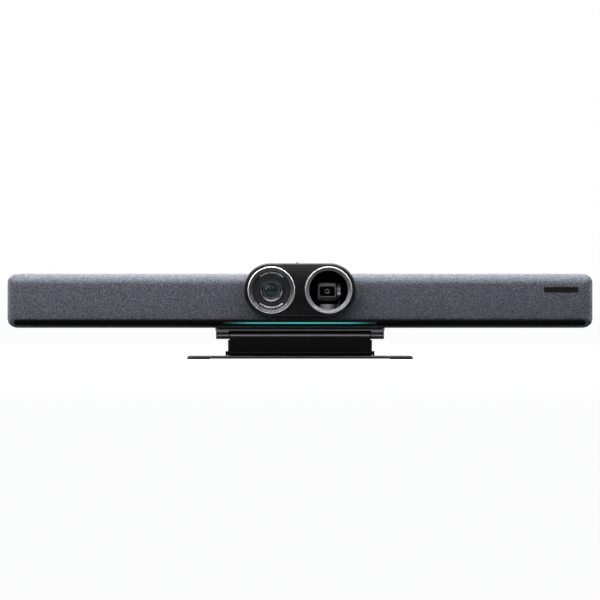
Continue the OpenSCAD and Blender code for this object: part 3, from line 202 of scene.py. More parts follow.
def weave(net, given):
    """Plain weave of mixed light and dark yarn, on a map in metres, with painted shade where the yarn sinks.
    """
    across, along = (net.math("DIVIDE", part, given["Thread"]) for part in net.parts(given["Map"])[:2])
    crossing = net.times(*(net.math("SINE", net.times(way, math.pi)) for way in (across, along)))
    raised = net.math("ABSOLUTE", crossing)
    over = net.between(crossing, -0.35, 0.35, smooth=True)
    runs = []
    for thread, way in ((across, along), (along, across)):
        lane = net.math("FLOOR", thread)
        start = net.add("ShaderNodeTexWhiteNoise", {"W": lane}, noise_dimensions="1D").outputs["Value"]
        piece = net.math("FLOOR", net.math("MULTIPLY_ADD", way, given["Run"], net.times(start, 7.0)))
        cell = {"Vector": net.combine(lane, piece)}
        runs.append(net.add("ShaderNodeTexWhiteNoise", cell, noise_dimensions="2D").outputs["Value"])
    yarn = net.math("ADD", net.times(runs[0], over),
                    net.times(runs[1], net.math("SUBTRACT", 1.0, over)))
    mottle = net.noise(given["Map"], net.math("DIVIDE", 1.0, given["Mottle Size"]), 1.0, 0.5)
    share = net.math("ADD", net.times(yarn, yarn), net.between(mottle, 0.25, 0.75, -0.15, 0.15), clamp=True)
    # Painted shade: the colour darkens to 0.72 where the yarn sinks between crossings.
    shade = net.grey(net.between(raised, 0.0, 0.5, 0.72, 1.06))
    colour = net.mix(share, given["Dark Yarn"], given["Light Yarn"])
    return {"Color": net.mix(1.0, colour, shade, "MULTIPLY"),
            "Height": net.math("MULTIPLY_ADD", yarn, 0.3, raised),
            "Fuzz": share}


def rubbed_edges(net, given):
    """Where edges are rubbed bright: broken up along the edge by a fine noise."""
    turn = net.first("ShaderNodeBevel", {"Radius": given["Reach"]}, samples=3)
    plain = net.add("ShaderNodeNewGeometry").outputs["Normal"]
    edge = net.between(net.vector("DOT_PRODUCT", turn, plain, "Value"), 0.99, 0.86)
    broken = net.between(net.noise(given["Place"], 900.0, 3.0, 0.7), 0.42, 0.6)
    return {"Mask": net.times(net.times(edge, broken), given["Amount"])}


def settled_dust(net, given):
    """Thin dust that settles on what faces up."""
    up = net.parts(net.add("ShaderNodeNewGeometry").outputs["Normal"])[2]
    patches = net.between(net.noise(given["Place"], 130.0, 5.0, 0.7), 0.42, 0.72)
    return {"Mask": net.times(net.times(net.between(up, 0.5, 0.98), patches), given["Amount"])}


def streaks(net, given):
    """Brushed or drawn metal: streaks along one direction, given by a long and thin scale."""
    lines = net.noise(net.vector("MULTIPLY", given["Place"], given["Stretch"]), 1.0, 3.0, 0.6)
    return {"Tone": net.between(lines, 0.3, 0.7, 0.86, 1.12), "Height": lines}


GRAIN = new_group("surface_grain", grain, {"Place": "Vector", "Grain Size": 0.0004, "Tone Change": 0.1})
TURNED = new_group("turned_rings", turned_rings, {"Place": "Vector", "Centre": "Vector", "Pitch": 0.0006})
WEAVE = new_group("woven_melange", weave, {
    "Map": "Vector", "Thread": 0.0007, "Dark Yarn": (0.05, 0.05, 0.06, 1),
    "Light Yarn": (0.2, 0.2, 0.22, 1), "Mottle Size": 0.0022, "Run": 0.4})
RUB = new_group("rubbed_edges", rubbed_edges, {"Place": "Vector", "Reach": 0.0006, "Amount": 0.5})
DUST = new_group("settled_dust", settled_dust, {"Place": "Vector", "Amount": 0.2})
STREAKS = new_group("drawn_streaks", streaks, {"Place": "Vector", "Stretch": (40, 4000, 4000)})
RUBBED, DUSTY = (0.3, 0.3, 0.31, 1), (0.32, 0.31, 0.29, 1)


def new_material(name):
    material = bpy.data.materials.new(name)
    material.use_nodes = True
    tree = material.node_tree
    return material, Net(tree), tree.nodes["Principled BSDF"]


def object_place(net):
    return net.add("ShaderNodeTexCoord").outputs["Object"]


def set_shader(net, shader, feeds, metallic=0.0, specular=0.5, coat=0.0, sheen=0.0, ior=1.5):
    """Feeds what varies over a finish, and sets what doesn't."""
    for label, value in feeds.items():
        net.feed(shader.inputs[label], value)
    for label, value in (("Metallic", metallic), ("Specular IOR Level", specular), ("Coat Weight", coat),
                         ("Coat Roughness", 0.1), ("Sheen Weight", sheen), ("IOR", ior)):
        shader.inputs[label].default_value = value


def finish(name, colour, rough, grain, depth, tone=0.12, rough_change=0.08, rub=0.0, dust=0.0,
           rings=None, drawn=None, crown=None, **sockets):
    """A solid finish: grain, tone and gloss that vary, rubbed edges, dust, and turned or drawn lines.

    A crown is a height and a bend: above the height, a flat face shines as if it curved back.
    """
    material, net, shader = new_material(name)
    place = object_place(net)
    texture = net.group(GRAIN, Place=place, Grain_Size=mm(grain), Tone_Change=tone)
    shade, height = texture["Tone"], texture["Height"]
    lines = None
    if rings:
        x, z, pitch = (mm(v) for v in rings)
        lines = net.group(TURNED, Place=place, Centre=(x, 0, z), Pitch=pitch)
    if drawn:
        lines = net.group(STREAKS, Place=place, Stretch=drawn)
    if lines is not None:
        shade = net.times(shade, lines["Tone"])
        height = net.math("ADD", net.times(height, 0.3), lines["Height"])
    base = net.mix(1.0, (*colour, 1), net.grey(shade), "MULTIPLY")
    half = rough_change / 2
    roughness = net.between(texture["Gloss"], 0.0, 1.0, rough - half, rough + half)
    for group, amount, over, change in ((RUB, rub, RUBBED, -0.12), (DUST, dust, DUSTY, 0.5)):
        if amount:
            mask = net.group(group, Place=place, Amount=amount)["Mask"]
            base = net.mix(mask, base, over)
            roughness = net.math("MULTIPLY_ADD", mask, change, roughness)
    feeds = {"Base Color": base, "Roughness": roughness}
    if depth:
        curve = None
        if crown:
            rise = net.math("MAXIMUM", net.math("SUBTRACT", net.parts(place)[2], mm(crown[0])), 0.0)
            curve = net.bump(net.times(net.times(rise, rise), -crown[1]), 1.0)
        feeds["Normal"] = net.bump(height, mm(depth), curve)
    set_shader(net, shader, feeds, **sockets)
    return material


def clear_glass(name, tint, coating, low, high):
    """Coated optical glass: it lets light through, and the coating's colour grows towards the rim."""
    material, net, shader = new_material(name)
    smear = net.noise(object_place(net), 260.0, 3.0)
    facing = net.add("ShaderNodeLayerWeight", {"Blend": 0.35}).outputs["Facing"]
    set_shader(net, shader, {
        "Base Color": net.mix(facing, (*tint, 1), (*coating, 1)),
        "Roughness": net.between(smear, 0.3, 0.7, 0.02, 0.07),
        "Alpha": net.between(facing, 0.0, 0.9, low, high)}, ior=1.6)
    return material


def cloth_material():
    material, net, shader = new_material("cloth")
    cloth = net.group(
        WEAVE, Map=net.first("ShaderNodeUVMap", uv_map="cloth_map"), Thread=mm(0.75),
        Mottle_Size=mm(0.6), Run=0.5, Dark_Yarn=(0.036, 0.04, 0.05, 1), Light_Yarn=(0.185, 0.196, 0.227, 1))
    set_shader(net, shader, {
        "Base Color": cloth["Color"], "Roughness": net.between(cloth["Fuzz"], 0.0, 1.0, 0.95, 0.78),
        "Normal": net.bump(cloth["Height"], mm(0.12))}, specular=0.15, sheen=0.25)
    shader.inputs["Sheen Roughness"].default_value = 0.45
    shader.inputs["Sheen Tint"].default_value = (0.9, 0.93, 1.0, 1)
    return material


def light_material():
    """Frosted light guide: bright teal in the middle, fading and greener towards both ends."""
    reach = 120.0
    stops = ((0, 1), (36, 0.97), (55, 0.94), (66, 0.92), (75, 0.88), (86, 0.73), (95, 0.52),
             (104, 0.24), (110, 0.14), (115, 0.03))
    material, net, shader = new_material("light")
    place = object_place(net)
    across, _, height = net.parts(place)
    ramp = net.add("ShaderNodeValToRGB", {0: net.math("DIVIDE", net.math("ABSOLUTE", across), mm(reach))})
    band = ramp.color_ramp
    while len(band.elements) < len(stops):
        band.elements.new(0.5)
    for element, (x, level) in zip(band.elements, stops):
        element.position = x / reach
        linear = level ** 2.2
        cool = 0.35 + 0.65 * level
        element.color = (0.05 * linear * cool, 0.503 * linear, 0.52 * linear * (0.8 + 0.2 * level), 1)
    cells = net.between(net.noise(place, 300.0, 2.0), 0.3, 0.7, 0.93, 1.05)
    upper = net.between(height, mm(54.5), mm(53.3), smooth=True)
    lower = net.between(height, mm(51.75), mm(52.1))
    glow = net.mix(1.0, ramp.outputs[0], net.grey(net.times(net.times(upper, lower), cells)), "MULTIPLY")
    shader.inputs["Emission Strength"].default_value = 1.0
    set_shader(net, shader, {
        "Base Color": net.mix(cells, (0.01, 0.05, 0.05, 1), (0.02, 0.07, 0.07, 1)),
        "Emission Color": glow, "Roughness": net.between(cells, 0.9, 1.1, 0.25, 0.4)}, specular=0.3)
    return material


# The finishes: colour, roughness, size and depth of the grain in millimetres, and what else they have.
FINISHES = {
    "stand_paint": ((0.005, 0.0052, 0.0062), 0.17, 0.25, 0.001, dict(
        rub=0.03, dust=0.02, specular=1.0, coat=1.0, rough_change=0.05)),
    "base_paint": ((0.018, 0.0185, 0.02), 0.5, 0.35, 0.008, dict(rub=0.04, dust=0.02, specular=0.6)),
    "riser_paint": ((0.0042, 0.0045, 0.006), 0.3, 0.3, 0.003, dict(
        rub=0.02, specular=0.2, rough_change=0.06)),
    "barrel_paint": ((0.3, 0.305, 0.315), 0.24, 0.25, 0.002, dict(
        rub=0.03, metallic=1.0, coat=0.5, rough_change=0.05)),
    "cap_gloss": ((0.009, 0.009, 0.011), 0.18, 0.6, 0.004, dict(rough_change=0.06)),
    "rubber": ((0.018, 0.018, 0.019), 0.8, 0.5, 0.05, dict(dust=0.2)),
    "steel": ((0.3, 0.305, 0.32), 0.34, 0.3, 0.01, dict(metallic=1.0, drawn=(900, 5000, 900))),
    "bronze": ((0.55, 0.4, 0.2), 0.36, 0.3, 0.02, dict(metallic=1.0, drawn=(60, 3000, 3000))),
    "housing_plastic": ((0.035, 0.036, 0.04), 0.52, 0.45, 0.05, dict(tone=0.16, rub=0.2, dust=0.12)),
    "frame_plastic": ((0.02, 0.02, 0.022), 0.6, 0.5, 0.04, {}),
    "strip_gloss": ((0.0012, 0.0014, 0.0022), 0.12, 0.8, 0.001, dict(rough_change=0.04, specular=0.1)),
    "board": ((0.02, 0.09, 0.05), 0.45, 0.9, 0.03, dict(tone=0.3)),
    "label_black": ((0.0018, 0.0018, 0.0022), 0.35, 0.3, 0.004, dict(rough_change=0.1)),
    "pod_plastic": ((0.0024, 0.0025, 0.0032), 0.24, 0.22, 0.003, dict(
        tone=0.08, crown=(62.0, 0.8), specular=0.95)),
    "shell_plastic": ((0.006, 0.0062, 0.007), 0.42, 0.3, 0.006, dict(tone=0.08, specular=0.25)),
    # Painted light and shade: one ring metal in two copies, the left one lighter and the right one darker,
    # after how brightly each side is lit.
    "ring_metal_left": ((0.68, 0.68, 0.695), 0.36, 0.3, 0.002, dict(
        metallic=1.0, rings=(*LENS, 0.35), rough_change=0.1)),
    "ring_metal_right": ((0.44, 0.44, 0.455), 0.36, 0.3, 0.002, dict(
        metallic=1.0, rings=(*EYE, 0.35), rough_change=0.1)),
    "funnel_black": ((0.035, 0.035, 0.04), 0.3, 0.25, 0.004, dict(
        rings=(*LENS, 0.5), specular=0.6, metallic=0.5)),
    "funnel_grey": ((0.15, 0.15, 0.158), 0.36, 0.25, 0.004, dict(
        rings=(*EYE, 0.5), specular=0.6, metallic=0.4)),
    "bezel_black": ((0.002, 0.002, 0.0024), 0.3, 0.25, 0.002, dict(specular=0.15)),
    "ridge_metal": ((0.32, 0.315, 0.345), 0.28, 0.3, 0.002, dict(metallic=0.9)),
    "ridge_dull": ((0.36, 0.36, 0.375), 0.34, 0.3, 0.002, dict(metallic=0.8)),
    "cup_satin": ((0.045, 0.045, 0.05), 0.2, 0.2, 0.002, dict(rings=(*LENS, 0.4), metallic=0.9)),
    "drum_grey": ((0.78, 0.78, 0.79), 0.36, 0.3, 0.006, dict(tone=0.1)),
    "arm_grey": ((0.1, 0.1, 0.105), 0.35, 0.3, 0.005, dict(tone=0.1)),
    "face_black": ((0.016, 0.0165, 0.018), 0.36, 0.25, 0.006, dict(rings=(*LENS, 0.9))),
    "retainer_dark": ((0.2, 0.2, 0.21), 0.28, 0.2, 0.002, dict(metallic=0.7, rough_change=0.1)),
    "eye_trim": ((0.4, 0.4, 0.42), 0.26, 0.2, 0.002, {}),
    "inner_glass": ((0.004, 0.014, 0.009), 0.07, 0.6, 0.0, dict(specular=0.8, rough_change=0.05, coat=1.0)),
    "bay_black": ((0.004, 0.004, 0.0045), 0.75, 0.5, 0.03, dict(specular=0.2)),
    "gimbal_plastic": ((0.26, 0.26, 0.272), 0.26, 0.25, 0.006, dict(tone=0.1)),
    "motor_metal": ((0.4, 0.4, 0.41), 0.34, 0.3, 0.006, dict(metallic=0.8, drawn=(4000, 300, 300))),
    "eye_gloss": ((0.004, 0.004, 0.005), 0.08, 0.8, 0.001, dict(rough_change=0.04)),
    "sink_metal": ((0.55, 0.56, 0.58), 0.4, 0.4, 0.01, dict(metallic=1.0, drawn=(60, 3000, 3000))),
    "socket_metal": ((0.3, 0.305, 0.31), 0.3, 0.3, 0.005, dict(metallic=1.0, drawn=(500, 500, 4000))),
    "socket_black": ((0.012, 0.012, 0.013), 0.5, 0.4, 0.02, {}),
    "cone_black": ((0.02, 0.02, 0.021), 0.7, 0.6, 0.06, dict(tone=0.25)),
    "box_plastic": ((0.016, 0.016, 0.018), 0.6, 0.5, 0.04, {}),
    "print_white": ((0.9, 0.9, 0.92), 0.5, 0.2, 0.002, {}),
    "iris_dark": ((0.004, 0.006, 0.005), 0.3, 0.3, 0.004, dict(rings=(*LENS, 0.7))),
}
PAINT = {name: finish(name, *sizes, **more) for name, (*sizes, more) in FINISHES.items()}
PAINT["lens_glass"] = clear_glass("lens_glass", (0.01, 0.03, 0.02), (0.04, 0.12, 0.08), 0.35, 0.8)
PAINT["window_clear"] = clear_glass("window_clear", (0, 0, 0), (0.02, 0.02, 0.03), 0.03, 0.15)
PAINT["cloth"] = cloth_material()
PAINT["light"] = light_material()


# shape building blocks
def put(name, data, place=(0, 0, 0), turn=(0, 0, 0)):
    thing = bpy.data.objects.new(name, data)
    thing.location, thing.rotation_euler = place, turn
    scene.collection.objects.link(thing)
    return thing


def finished_shape(thing, *tools):
    """The shape of a thing after all its changes. The thing and its tools are then cleared away."""
    bpy.context.view_layer.update()
    made = bpy.data.meshes.new_from_object(thing.evaluated_get(bpy.context.evaluated_depsgraph_get()))
    for used in (thing, *tools):
        bpy.data.objects.remove(used)
    return made


def make_piece(name, mesh, material, slot, replaces=(), body="bar", smooth=35.0):
    mesh.name = name
    piece = put(name, mesh)
    mesh.materials.clear()
    mesh.materials.append(PAINT[material])
    mesh.shade_smooth()
    if smooth:
        mesh.set_sharp_from_angle(angle=math.radians(smooth))
    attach(piece, body)
    if replaces:
        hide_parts(*replaces)
    return piece


def closed_mesh(points, faces):
    """A shape from points in millimetres, with doubles merged and faces turned outwards."""
    mesh = bpy.data.meshes.new("shape")
    mesh.from_pydata([tuple(mm(v) for v in p) for p in points], [], faces)
    work = bmesh.new()
    work.from_mesh(mesh)
    bmesh.ops.remove_doubles(work, verts=work.verts, dist=1e-6)
    bmesh.ops.dissolve_degenerate(work, edges=work.edges, dist=1e-7)
    bmesh.ops.recalc_face_normals(work, faces=work.faces)
    work.to_mesh(mesh)
    work.free()
    return mesh


def ring_points(shape, grow, steps=12):
    """Points of a rounded rectangle (centre, half width, half height, corner radius), grown by some."""
    if isinstance(shape, list):
        return grown_outline(shape, grow)
    cu, cv, half_u, half_v, radius = shape
    r = max(radius + grow, 1e-4)
    u, v = half_u + grow - r, half_v + grow - r
    points = []
    for corner, (su, sv) in enumerate(((1, 1), (-1, 1), (-1, -1), (1, -1))):
        for i in range(steps + 1):
            a = math.radians(90 * corner + 90 * i / steps)
            points.append((cu + su * u + r * math.cos(a), cv + sv * v + r * math.sin(a)))
    return points


def grown_outline(points, grow):
    """Moves each point of an anticlockwise outline outwards by the same distance from its two sides."""
    out, n = [], len(points)
    for i, p in enumerate(points):
        a, b = Vector(p) - Vector(points[i - 1]), Vector(points[(i + 1) % n]) - Vector(p)
        na, nb = Vector((a.y, -a.x)).normalized(), Vector((b.y, -b.x)).normalized()
        side = na + nb
        side = side / max(side.length_squared / 2, 0.5)
        out.append((p[0] + side.x * grow, p[1] + side.y * grow))
    return out


def arc_points(cu, cv, radius, start, end, steps):
    turns = [math.radians(start + (end - start) * i / steps) for i in range(steps + 1)]
    return [(cu + radius * math.cos(a), cv + radius * math.sin(a)) for a in turns]


def disc(cu, cv, radius):
    return (cu, cv, radius, radius, radius)


def eased(profile, radius, steps=3, closed=False):
    """Rounds the corners of a line of (grow, level) points by short curves."""
    points = [Vector(p) for p in profile]
    n, out = len(points), []
    for i, p in enumerate(points):
        if not closed and i in (0, n - 1):
            out.append(tuple(p))
            continue
        a, b = points[i - 1] - p, points[(i + 1) % n] - p
        cut = min(radius, a.length * 0.49, b.length * 0.49)
        if cut < 1e-5 or a.angle(b, math.pi) > math.radians(176):
            out.append(tuple(p))
            continue
        p0, p2 = p + a.normalized() * cut, p + b.normalized() * cut
        for k in range(steps + 1):
            t = k / steps
            out.append(tuple(p0 * (1 - t) ** 2 + p * 2 * t * (1 - t) + p2 * t * t))
    return out


def loft(shape, profile, axis="Y", closed=False, steps=12):
    """Carries an outline along a profile of (grow, level). Open ends are capped; closed makes a ring."""
    rows = [ring_points(shape, grow, steps) for grow, level in profile]
    count = len(rows[0])
    points = []
    for (grow, level), row in zip(profile, rows):
        for u, v in row:
            points.append({"Y": (u, level, v), "Z": (u, v, level), "X": (level, u, v)}[axis])
    faces, n = [], len(profile)
    for i in range(n if closed else n - 1):
        j = (i + 1) % n
        for k in range(count):
            m = (k + 1) % count
            faces.append((i * count + k, i * count + m, j * count + m, j * count + k))
    if not closed:
        faces.append(tuple(range(count))[::-1])
        faces.append(tuple((n - 1) * count + k for k in range(count)))
    return closed_mesh(points, faces)


def slab(shape, low, high, edge, axis="Y", steps=12, rounds=4):
    """A plate or block from an outline, with both rims rounded."""
    arc = [math.radians(90 * i / rounds) for i in range(rounds + 1)]
    profile = [(-edge + edge * math.sin(a), low + edge - edge * math.cos(a)) for a in arc]
    profile += [(-edge + edge * math.cos(a), high - edge + edge * math.sin(a)) for a in arc]
    return loft(shape, profile, axis, steps=steps)


def turned(centre, profile, ease, closed, steps):
    """A turned part round an axis from front to back: profile of (radius, y)."""
    rings = [(max(r, 0.001), y) for r, y in profile]
    line = eased(rings, ease, 3, closed) if ease else rings
    return loft(disc(*centre, 0.0), line, "Y", closed, steps)


def turned_piece(name, centre, profile, material, slot, replaces=(), body="bar", ease=0.12, steps=36,
                 smooth=35.0, closed=True):
    make_piece(name, turned(centre, profile, ease, closed, steps), material, slot, replaces, body, smooth)


def rod(u, v, radius, low, high, axis="X", steps=8):
    return loft(disc(u, v, radius), [(0, low), (0, high)], axis, steps=steps)


def shaped(mesh, cutters=(), added=(), edge=0.0, rounds=2, angle=35):
    """Adds some shapes to a shape, takes others away from it, and then rounds its sharp edges."""
    base, tools = put("work", mesh), []
    for operation, parts in (("UNION", added), ("DIFFERENCE", cutters)):
        for part in parts:
            tools.append(put("tool", part))
            change = base.modifiers.new("shape", "BOOLEAN")
            change.operation, change.object, change.solver = operation, tools[-1], "EXACT"
    if edge:
        change = base.modifiers.new("edges", "BEVEL")
        change.width, change.segments, change.limit_method = mm(edge), rounds, "ANGLE"
        change.angle_limit, change.use_clamp_overlap = math.radians(angle), True
    return finished_shape(base, *tools)


def brick(x0, x1, y0, y1, z0, z1):
    points = [(x, y, z) for x in (x0, x1) for y in (y0, y1) for z in (z0, z1)]
    faces = [(0, 1, 3, 2), (4, 6, 7, 5), (0, 4, 5, 1), (2, 3, 7, 6), (0, 2, 6, 4), (1, 5, 7, 3)]
    return closed_mesh(points, faces)


def joined(*meshes):
    work = bmesh.new()
    for mesh in meshes:
        work.from_mesh(mesh)
    made = bpy.data.meshes.new("joined")
    work.to_mesh(made)
    work.free()
    return made


# the cloth
def nearest_in_prism(points, pair, low, high, radius):
    """Moves points to the nearest place in a rounded rectangle that is endless along the third axis."""
    centre = (low + high) / 2
    half = (high - low) / 2 - radius
    flat = points[:, pair] - centre
    core = np.clip(flat, -half, half)
    away = flat - core
    far = np.linalg.norm(away, axis=1)
    scale = np.where(far > radius, radius / np.maximum(far, 1e-9), 1.0)
    out = points.copy()
    out[:, pair] = centre + core + away * scale[:, None]
    return out


def on_bar_skin(points, blend=5.0, rounds=80):
    """The nearest point of the bar's skin, whose edges run softly into each other, and its normal."""
    low = np.array((-BAR_END, BAR_FRONT, BAR_FLOOR)) + blend
    high = np.array((BAR_END, BAR_REAR, BAR_TOP)) - blend
    now, carry = points.copy(), np.zeros((3, *points.shape))
    for _ in range(rounds):
        for i, (pair, radius) in enumerate((([1, 2], LONG_R), ([0, 2], END_R), ([0, 1], UPRIGHT_R))):
            start = now + carry[i]
            now = nearest_in_prism(start, pair, low[pair], high[pair], radius - blend)
            carry[i] = start - now
    normal = points - now
    normal /= np.maximum(np.linalg.norm(normal, axis=1), 1e-9)[:, None]
    return now + normal * blend, normal


def rounded_gap(x, z, cx, cz, half_x, half_z, radius):
    """Distance outside a rounded rectangle, and less than nothing inside it."""
    u, v = abs(x - cx) - (half_x - radius), abs(z - cz) - (half_z - radius)
    return math.hypot(max(u, 0), max(v, 0)) + min(max(u, v), 0) - radius


CUT_GAP, POD_GAP = 0.1, 0.3
CORNERS = ((0, 0), (1, 0), (1, 1), (0, 1))


def opening_gap(p):
    """Distance from the nearest opening in the cloth: the pod, the strip or the label plate.

    The pod's opening goes on over the bar's top. The other two are in the front only.
    """
    x, y, z = p
    over_top, far, front_half = 126, 99.0, -5
    reach = POD_R + POD_GAP
    pod = rounded_gap(x, min(z, over_top), 0, POD_Z, POD_SPAN + reach, reach, reach)
    strip = label = far
    if y < front_half:
        reach = STRIP_R + CUT_GAP
        strip = rounded_gap(x, z, 0, STRIP_Z, STRIP_HALF + reach, reach, reach)
        label = rounded_gap(x, z, *LABEL[:2], LABEL[2] / 2 + CUT_GAP, LABEL[3] / 2 + CUT_GAP, 0.9)
    return min(pod, strip, label)


def spread(stops, step):
    """Even samples between fixed stops, no further apart than a step."""
    out = []
    for a, b in zip(stops, stops[1:]):
        n = max(1, round(abs(b - a) / step))
        out += [a + (b - a) * i / n for i in range(n)]
    return out + [stops[-1]]


def fillet_run(start, end, steps=9):
    """Samples on a box edge, from where its fillet begins to the corner, even along the arc."""
    return [start + (end - start) * math.tan(math.radians(45 * i / steps)) for i in range(steps + 1)][1:]


def cloth_grid():
    """Points of a sharp-edged box in the cloth's place, its squares, and their places on the flat cloth."""
    top, floor, front = BAR_TOP, BAR_FLOOR, BAR_FRONT
    cx, cz, width, height = LABEL
    rows, cols = height / 2 + CUT_GAP, width / 2 + CUT_GAP
    ys = spread((SEAM_Y, front + LONG_R), 3.0) + fillet_run(front + LONG_R, front)
    zs = [top - LONG_R + s for s in reversed(fillet_run(0, LONG_R)[:-1])]
    zs += spread((top - LONG_R, cz + rows, cz - rows, floor + LONG_R), 2.6)
    zs += fillet_run(floor + LONG_R, floor, 18)
    path = [(y, top) for y in ys] + [(front, z) for z in zs] + [(y, floor) for y in reversed(ys[:-1])]
    edge = [BAR_END - END_R] + fillet_run(BAR_END - END_R, BAR_END)
    right = spread((0.0, 90.0), 2.2)[:-1] + spread((90.0, cx - cols, cx + cols, BAR_END - END_R), 3.2)[:-1]
    xs = [-x for x in reversed(edge)] + [-x for x in reversed(right[1:])] + right + edge
    run = [0.0]
    for (y0, z0), (y1, z1) in zip(path, path[1:]):
        run.append(run[-1] + math.hypot(y1 - y0, z1 - z0))
    points = [(x, y, z) for x in xs for y, z in path]
    quads, quad_maps = [], []
    nx, nr, ny = len(xs), len(path), len(ys)
    for i in range(nx - 1):
        for j in range(nr - 1):
            ring = [(i + p, j + q) for p, q in CORNERS]
            quads.append(tuple(p * nr + q for p, q in ring))
            quad_maps.append([(xs[p], run[q]) for p, q in ring])
    column = range(ny - 1, ny + len(zs))
    for side, end in ((-1, 0), (1, (nx - 1) * nr)):
        grid = {}
        for a in range(ny):
            for b, j in enumerate(column):
                if b == 0:
                    grid[a, b] = end + a
                elif b == len(column) - 1:
                    grid[a, b] = end + nr - 1 - a
                elif a == ny - 1:
                    grid[a, b] = end + j
                else:
                    grid[a, b] = len(points)
                    points.append((side * BAR_END, ys[a], path[j][1]))
        for a in range(ny - 1):
            for b in range(len(column) - 1):
                ring = [(a + p, b + q) for p, q in CORNERS]
                quads.append(tuple(grid[spot] for spot in ring))
                quad_maps.append([(side * (BAR_END + ys[p] - front), run[column[q]]) for p, q in ring])
    return np.array(points), quads, quad_maps


def skin_to_openings(raw):
    """The cloth's skin with its points near an opening moved onto the opening's edge."""
    close, nudge = 0.7, 0.01
    skin, normal = on_bar_skin(raw)
    gap = np.array([opening_gap(p) for p in skin])
    on_seam = (np.abs(raw[:, 1] - SEAM_Y) < 1e-6) & (raw[:, 2] > BAR_TOP - 1)
    near = np.nonzero((np.abs(gap) < close) & ~on_seam)[0]
    on_front = np.abs(raw[near, 1] - BAR_FRONT) < 1e-6
    for _ in range(6):
        now = np.array([opening_gap(skin[i]) for i in near])
        slope_x, slope_z = (
            (np.array([opening_gap(skin[i] + way) for i in near]) - now) / nudge
            for way in ((nudge, 0, 0), (0, 0, nudge)))
        size = slope_x ** 2 + slope_z ** 2
        step = np.where((size > 0.2) & (np.abs(now) > 1e-4), -now / np.maximum(size, 0.2), 0.0)
        raw[near, 0] += step * slope_x
        raw[near, 2] += np.where(on_front, step * slope_z, 0.0)
        skin[near], normal[near] = on_bar_skin(raw[near])
    left = np.array([opening_gap(skin[i]) for i in near])
    gap[near] = np.where(np.abs(left) < 0.02, 0.0, left)
    return list(skin), list(normal), list(gap)


def cloth_mesh():
    """The cloth as one closed skin a millimetre thick, with folded rims at its openings."""
    raw, quads, quad_maps = cloth_grid()
    skin, normal, gap = skin_to_openings(raw)
    cuts = {}

    def cut(a, b):
        key = (min(a, b), max(a, b))
        if key not in cuts:
            low, high = (a, b) if gap[a] < gap[b] else (b, a)
            s, e = 0.0, 1.0
            for _ in range(24):
                t = (s + e) / 2
                p = skin[low] * (1 - t) + skin[high] * t
                s, e = (t, e) if opening_gap(p) < 0 else (s, t)
            cuts[key] = len(skin)
            direction = normal[low] * (1 - e) + normal[high] * e
            skin.append(skin[low] * (1 - e) + skin[high] * e)
            normal.append(direction / np.linalg.norm(direction))
            gap.append(0.0)
        return cuts[key]

    faces, face_maps = [], []
    for quad, uv in zip(quads, quad_maps):
        levels = [gap[v] for v in quad]
        if max(levels) <= 0:
            continue
        ring, ring_map = [], []
        for k in range(4):
            a, b, ua, ub = quad[k], quad[(k + 1) % 4], uv[k], uv[(k + 1) % 4]
            if gap[a] >= 0:
                ring.append(a)
                ring_map.append(ua)
            if gap[a] * gap[b] < 0:
                c = cut(a, b)
                whole = np.linalg.norm(skin[b] - skin[a])
                t = np.linalg.norm(skin[c] - skin[a]) / max(whole, 1e-9)
                ring.append(c)
                ring_map.append((ua[0] + (ub[0] - ua[0]) * t, ua[1] + (ub[1] - ua[1]) * t))
        if len(ring) >= 3:
            faces.append(tuple(ring))
            face_maps.append(ring_map)
    return shell_of(faces, face_maps, np.array(skin), np.array(normal))


def shell_of(faces, face_maps, skin, normal, thick=1.0, roll=0.22):
    """Gives a skin its thickness. Each free edge is closed by a rim that is folded round."""
    used = sorted({v for f in faces for v in f})
    renum = {v: i for i, v in enumerate(used)}
    faces = [tuple(renum[v] for v in f) for f in faces]
    outer, direction = skin[used], normal[used]
    inner = outer - direction * thick
    n = len(used)
    points = [tuple(p) for p in outer] + [tuple(p) for p in inner]
    made, maps = list(faces), [list(m) for m in face_maps]
    for f, m in zip(faces, face_maps):
        made.append(tuple(v + n for v in reversed(f)))
        maps.append(list(reversed(m)))
    count, owner = {}, {}
    for f, m in zip(faces, face_maps):
        for k in range(len(f)):
            after = (k + 1) % len(f)
            edge = frozenset((f[k], f[after]))
            count[edge] = count.get(edge, 0) + 1
            owner[edge] = (f[k], f[after], m[k], m[after])
    border = [owner[e] for e, c in count.items() if c == 1]
    outward = {}
    for a, b, _, _ in border:
        along = outer[b] - outer[a]
        for v in (a, b):
            side = np.cross(along, direction[v])
            outward[v] = outward.get(v, 0) + side / max(np.linalg.norm(side), 1e-9)
    rims = {}
    for v, side in outward.items():
        side = side / max(np.linalg.norm(side), 1e-9)
        rims[v] = []
        for t in (0.12, 0.35, 0.65, 0.88):
            rims[v].append(len(points))
            points.append(tuple(outer[v] - direction[v] * thick * t + side * roll * math.sin(math.pi * t)))
    for a, b, ua, ub in border:
        line_a, line_b = [a, *rims[a], a + n], [b, *rims[b], b + n]
        for k in range(len(line_a) - 1):
            made.append((line_b[k], line_a[k], line_a[k + 1], line_b[k + 1]))
            shift = 0.2 * k
            maps.append([(ub[0], ub[1] + shift), (ua[0], ua[1] + shift),
                         (ua[0], ua[1] + shift + 0.2), (ub[0], ub[1] + shift + 0.2)])
    mesh = bpy.data.meshes.new("cloth_cover")
    mesh.from_pydata([tuple(mm(v) for v in p) for p in points], [], made)
    layer = mesh.uv_layers.new(name="cloth_map")
    values = np.array([(mm(u), mm(v)) for m in maps for u, v in m], np.float32)
    layer.data.foreach_set("uv", values.ravel())
    mesh.validate()
    return mesh


def make_cloth():
    mesh = cloth_mesh()
    work = bmesh.new()
    work.from_mesh(mesh)
    if work.calc_volume(signed=True) < 0:
        mesh.flip_normals()
    work.free()
    piece = make_piece("cloth_cover", mesh, "cloth", "cloth", ["fabric_cover"], smooth=50)


make_cloth()


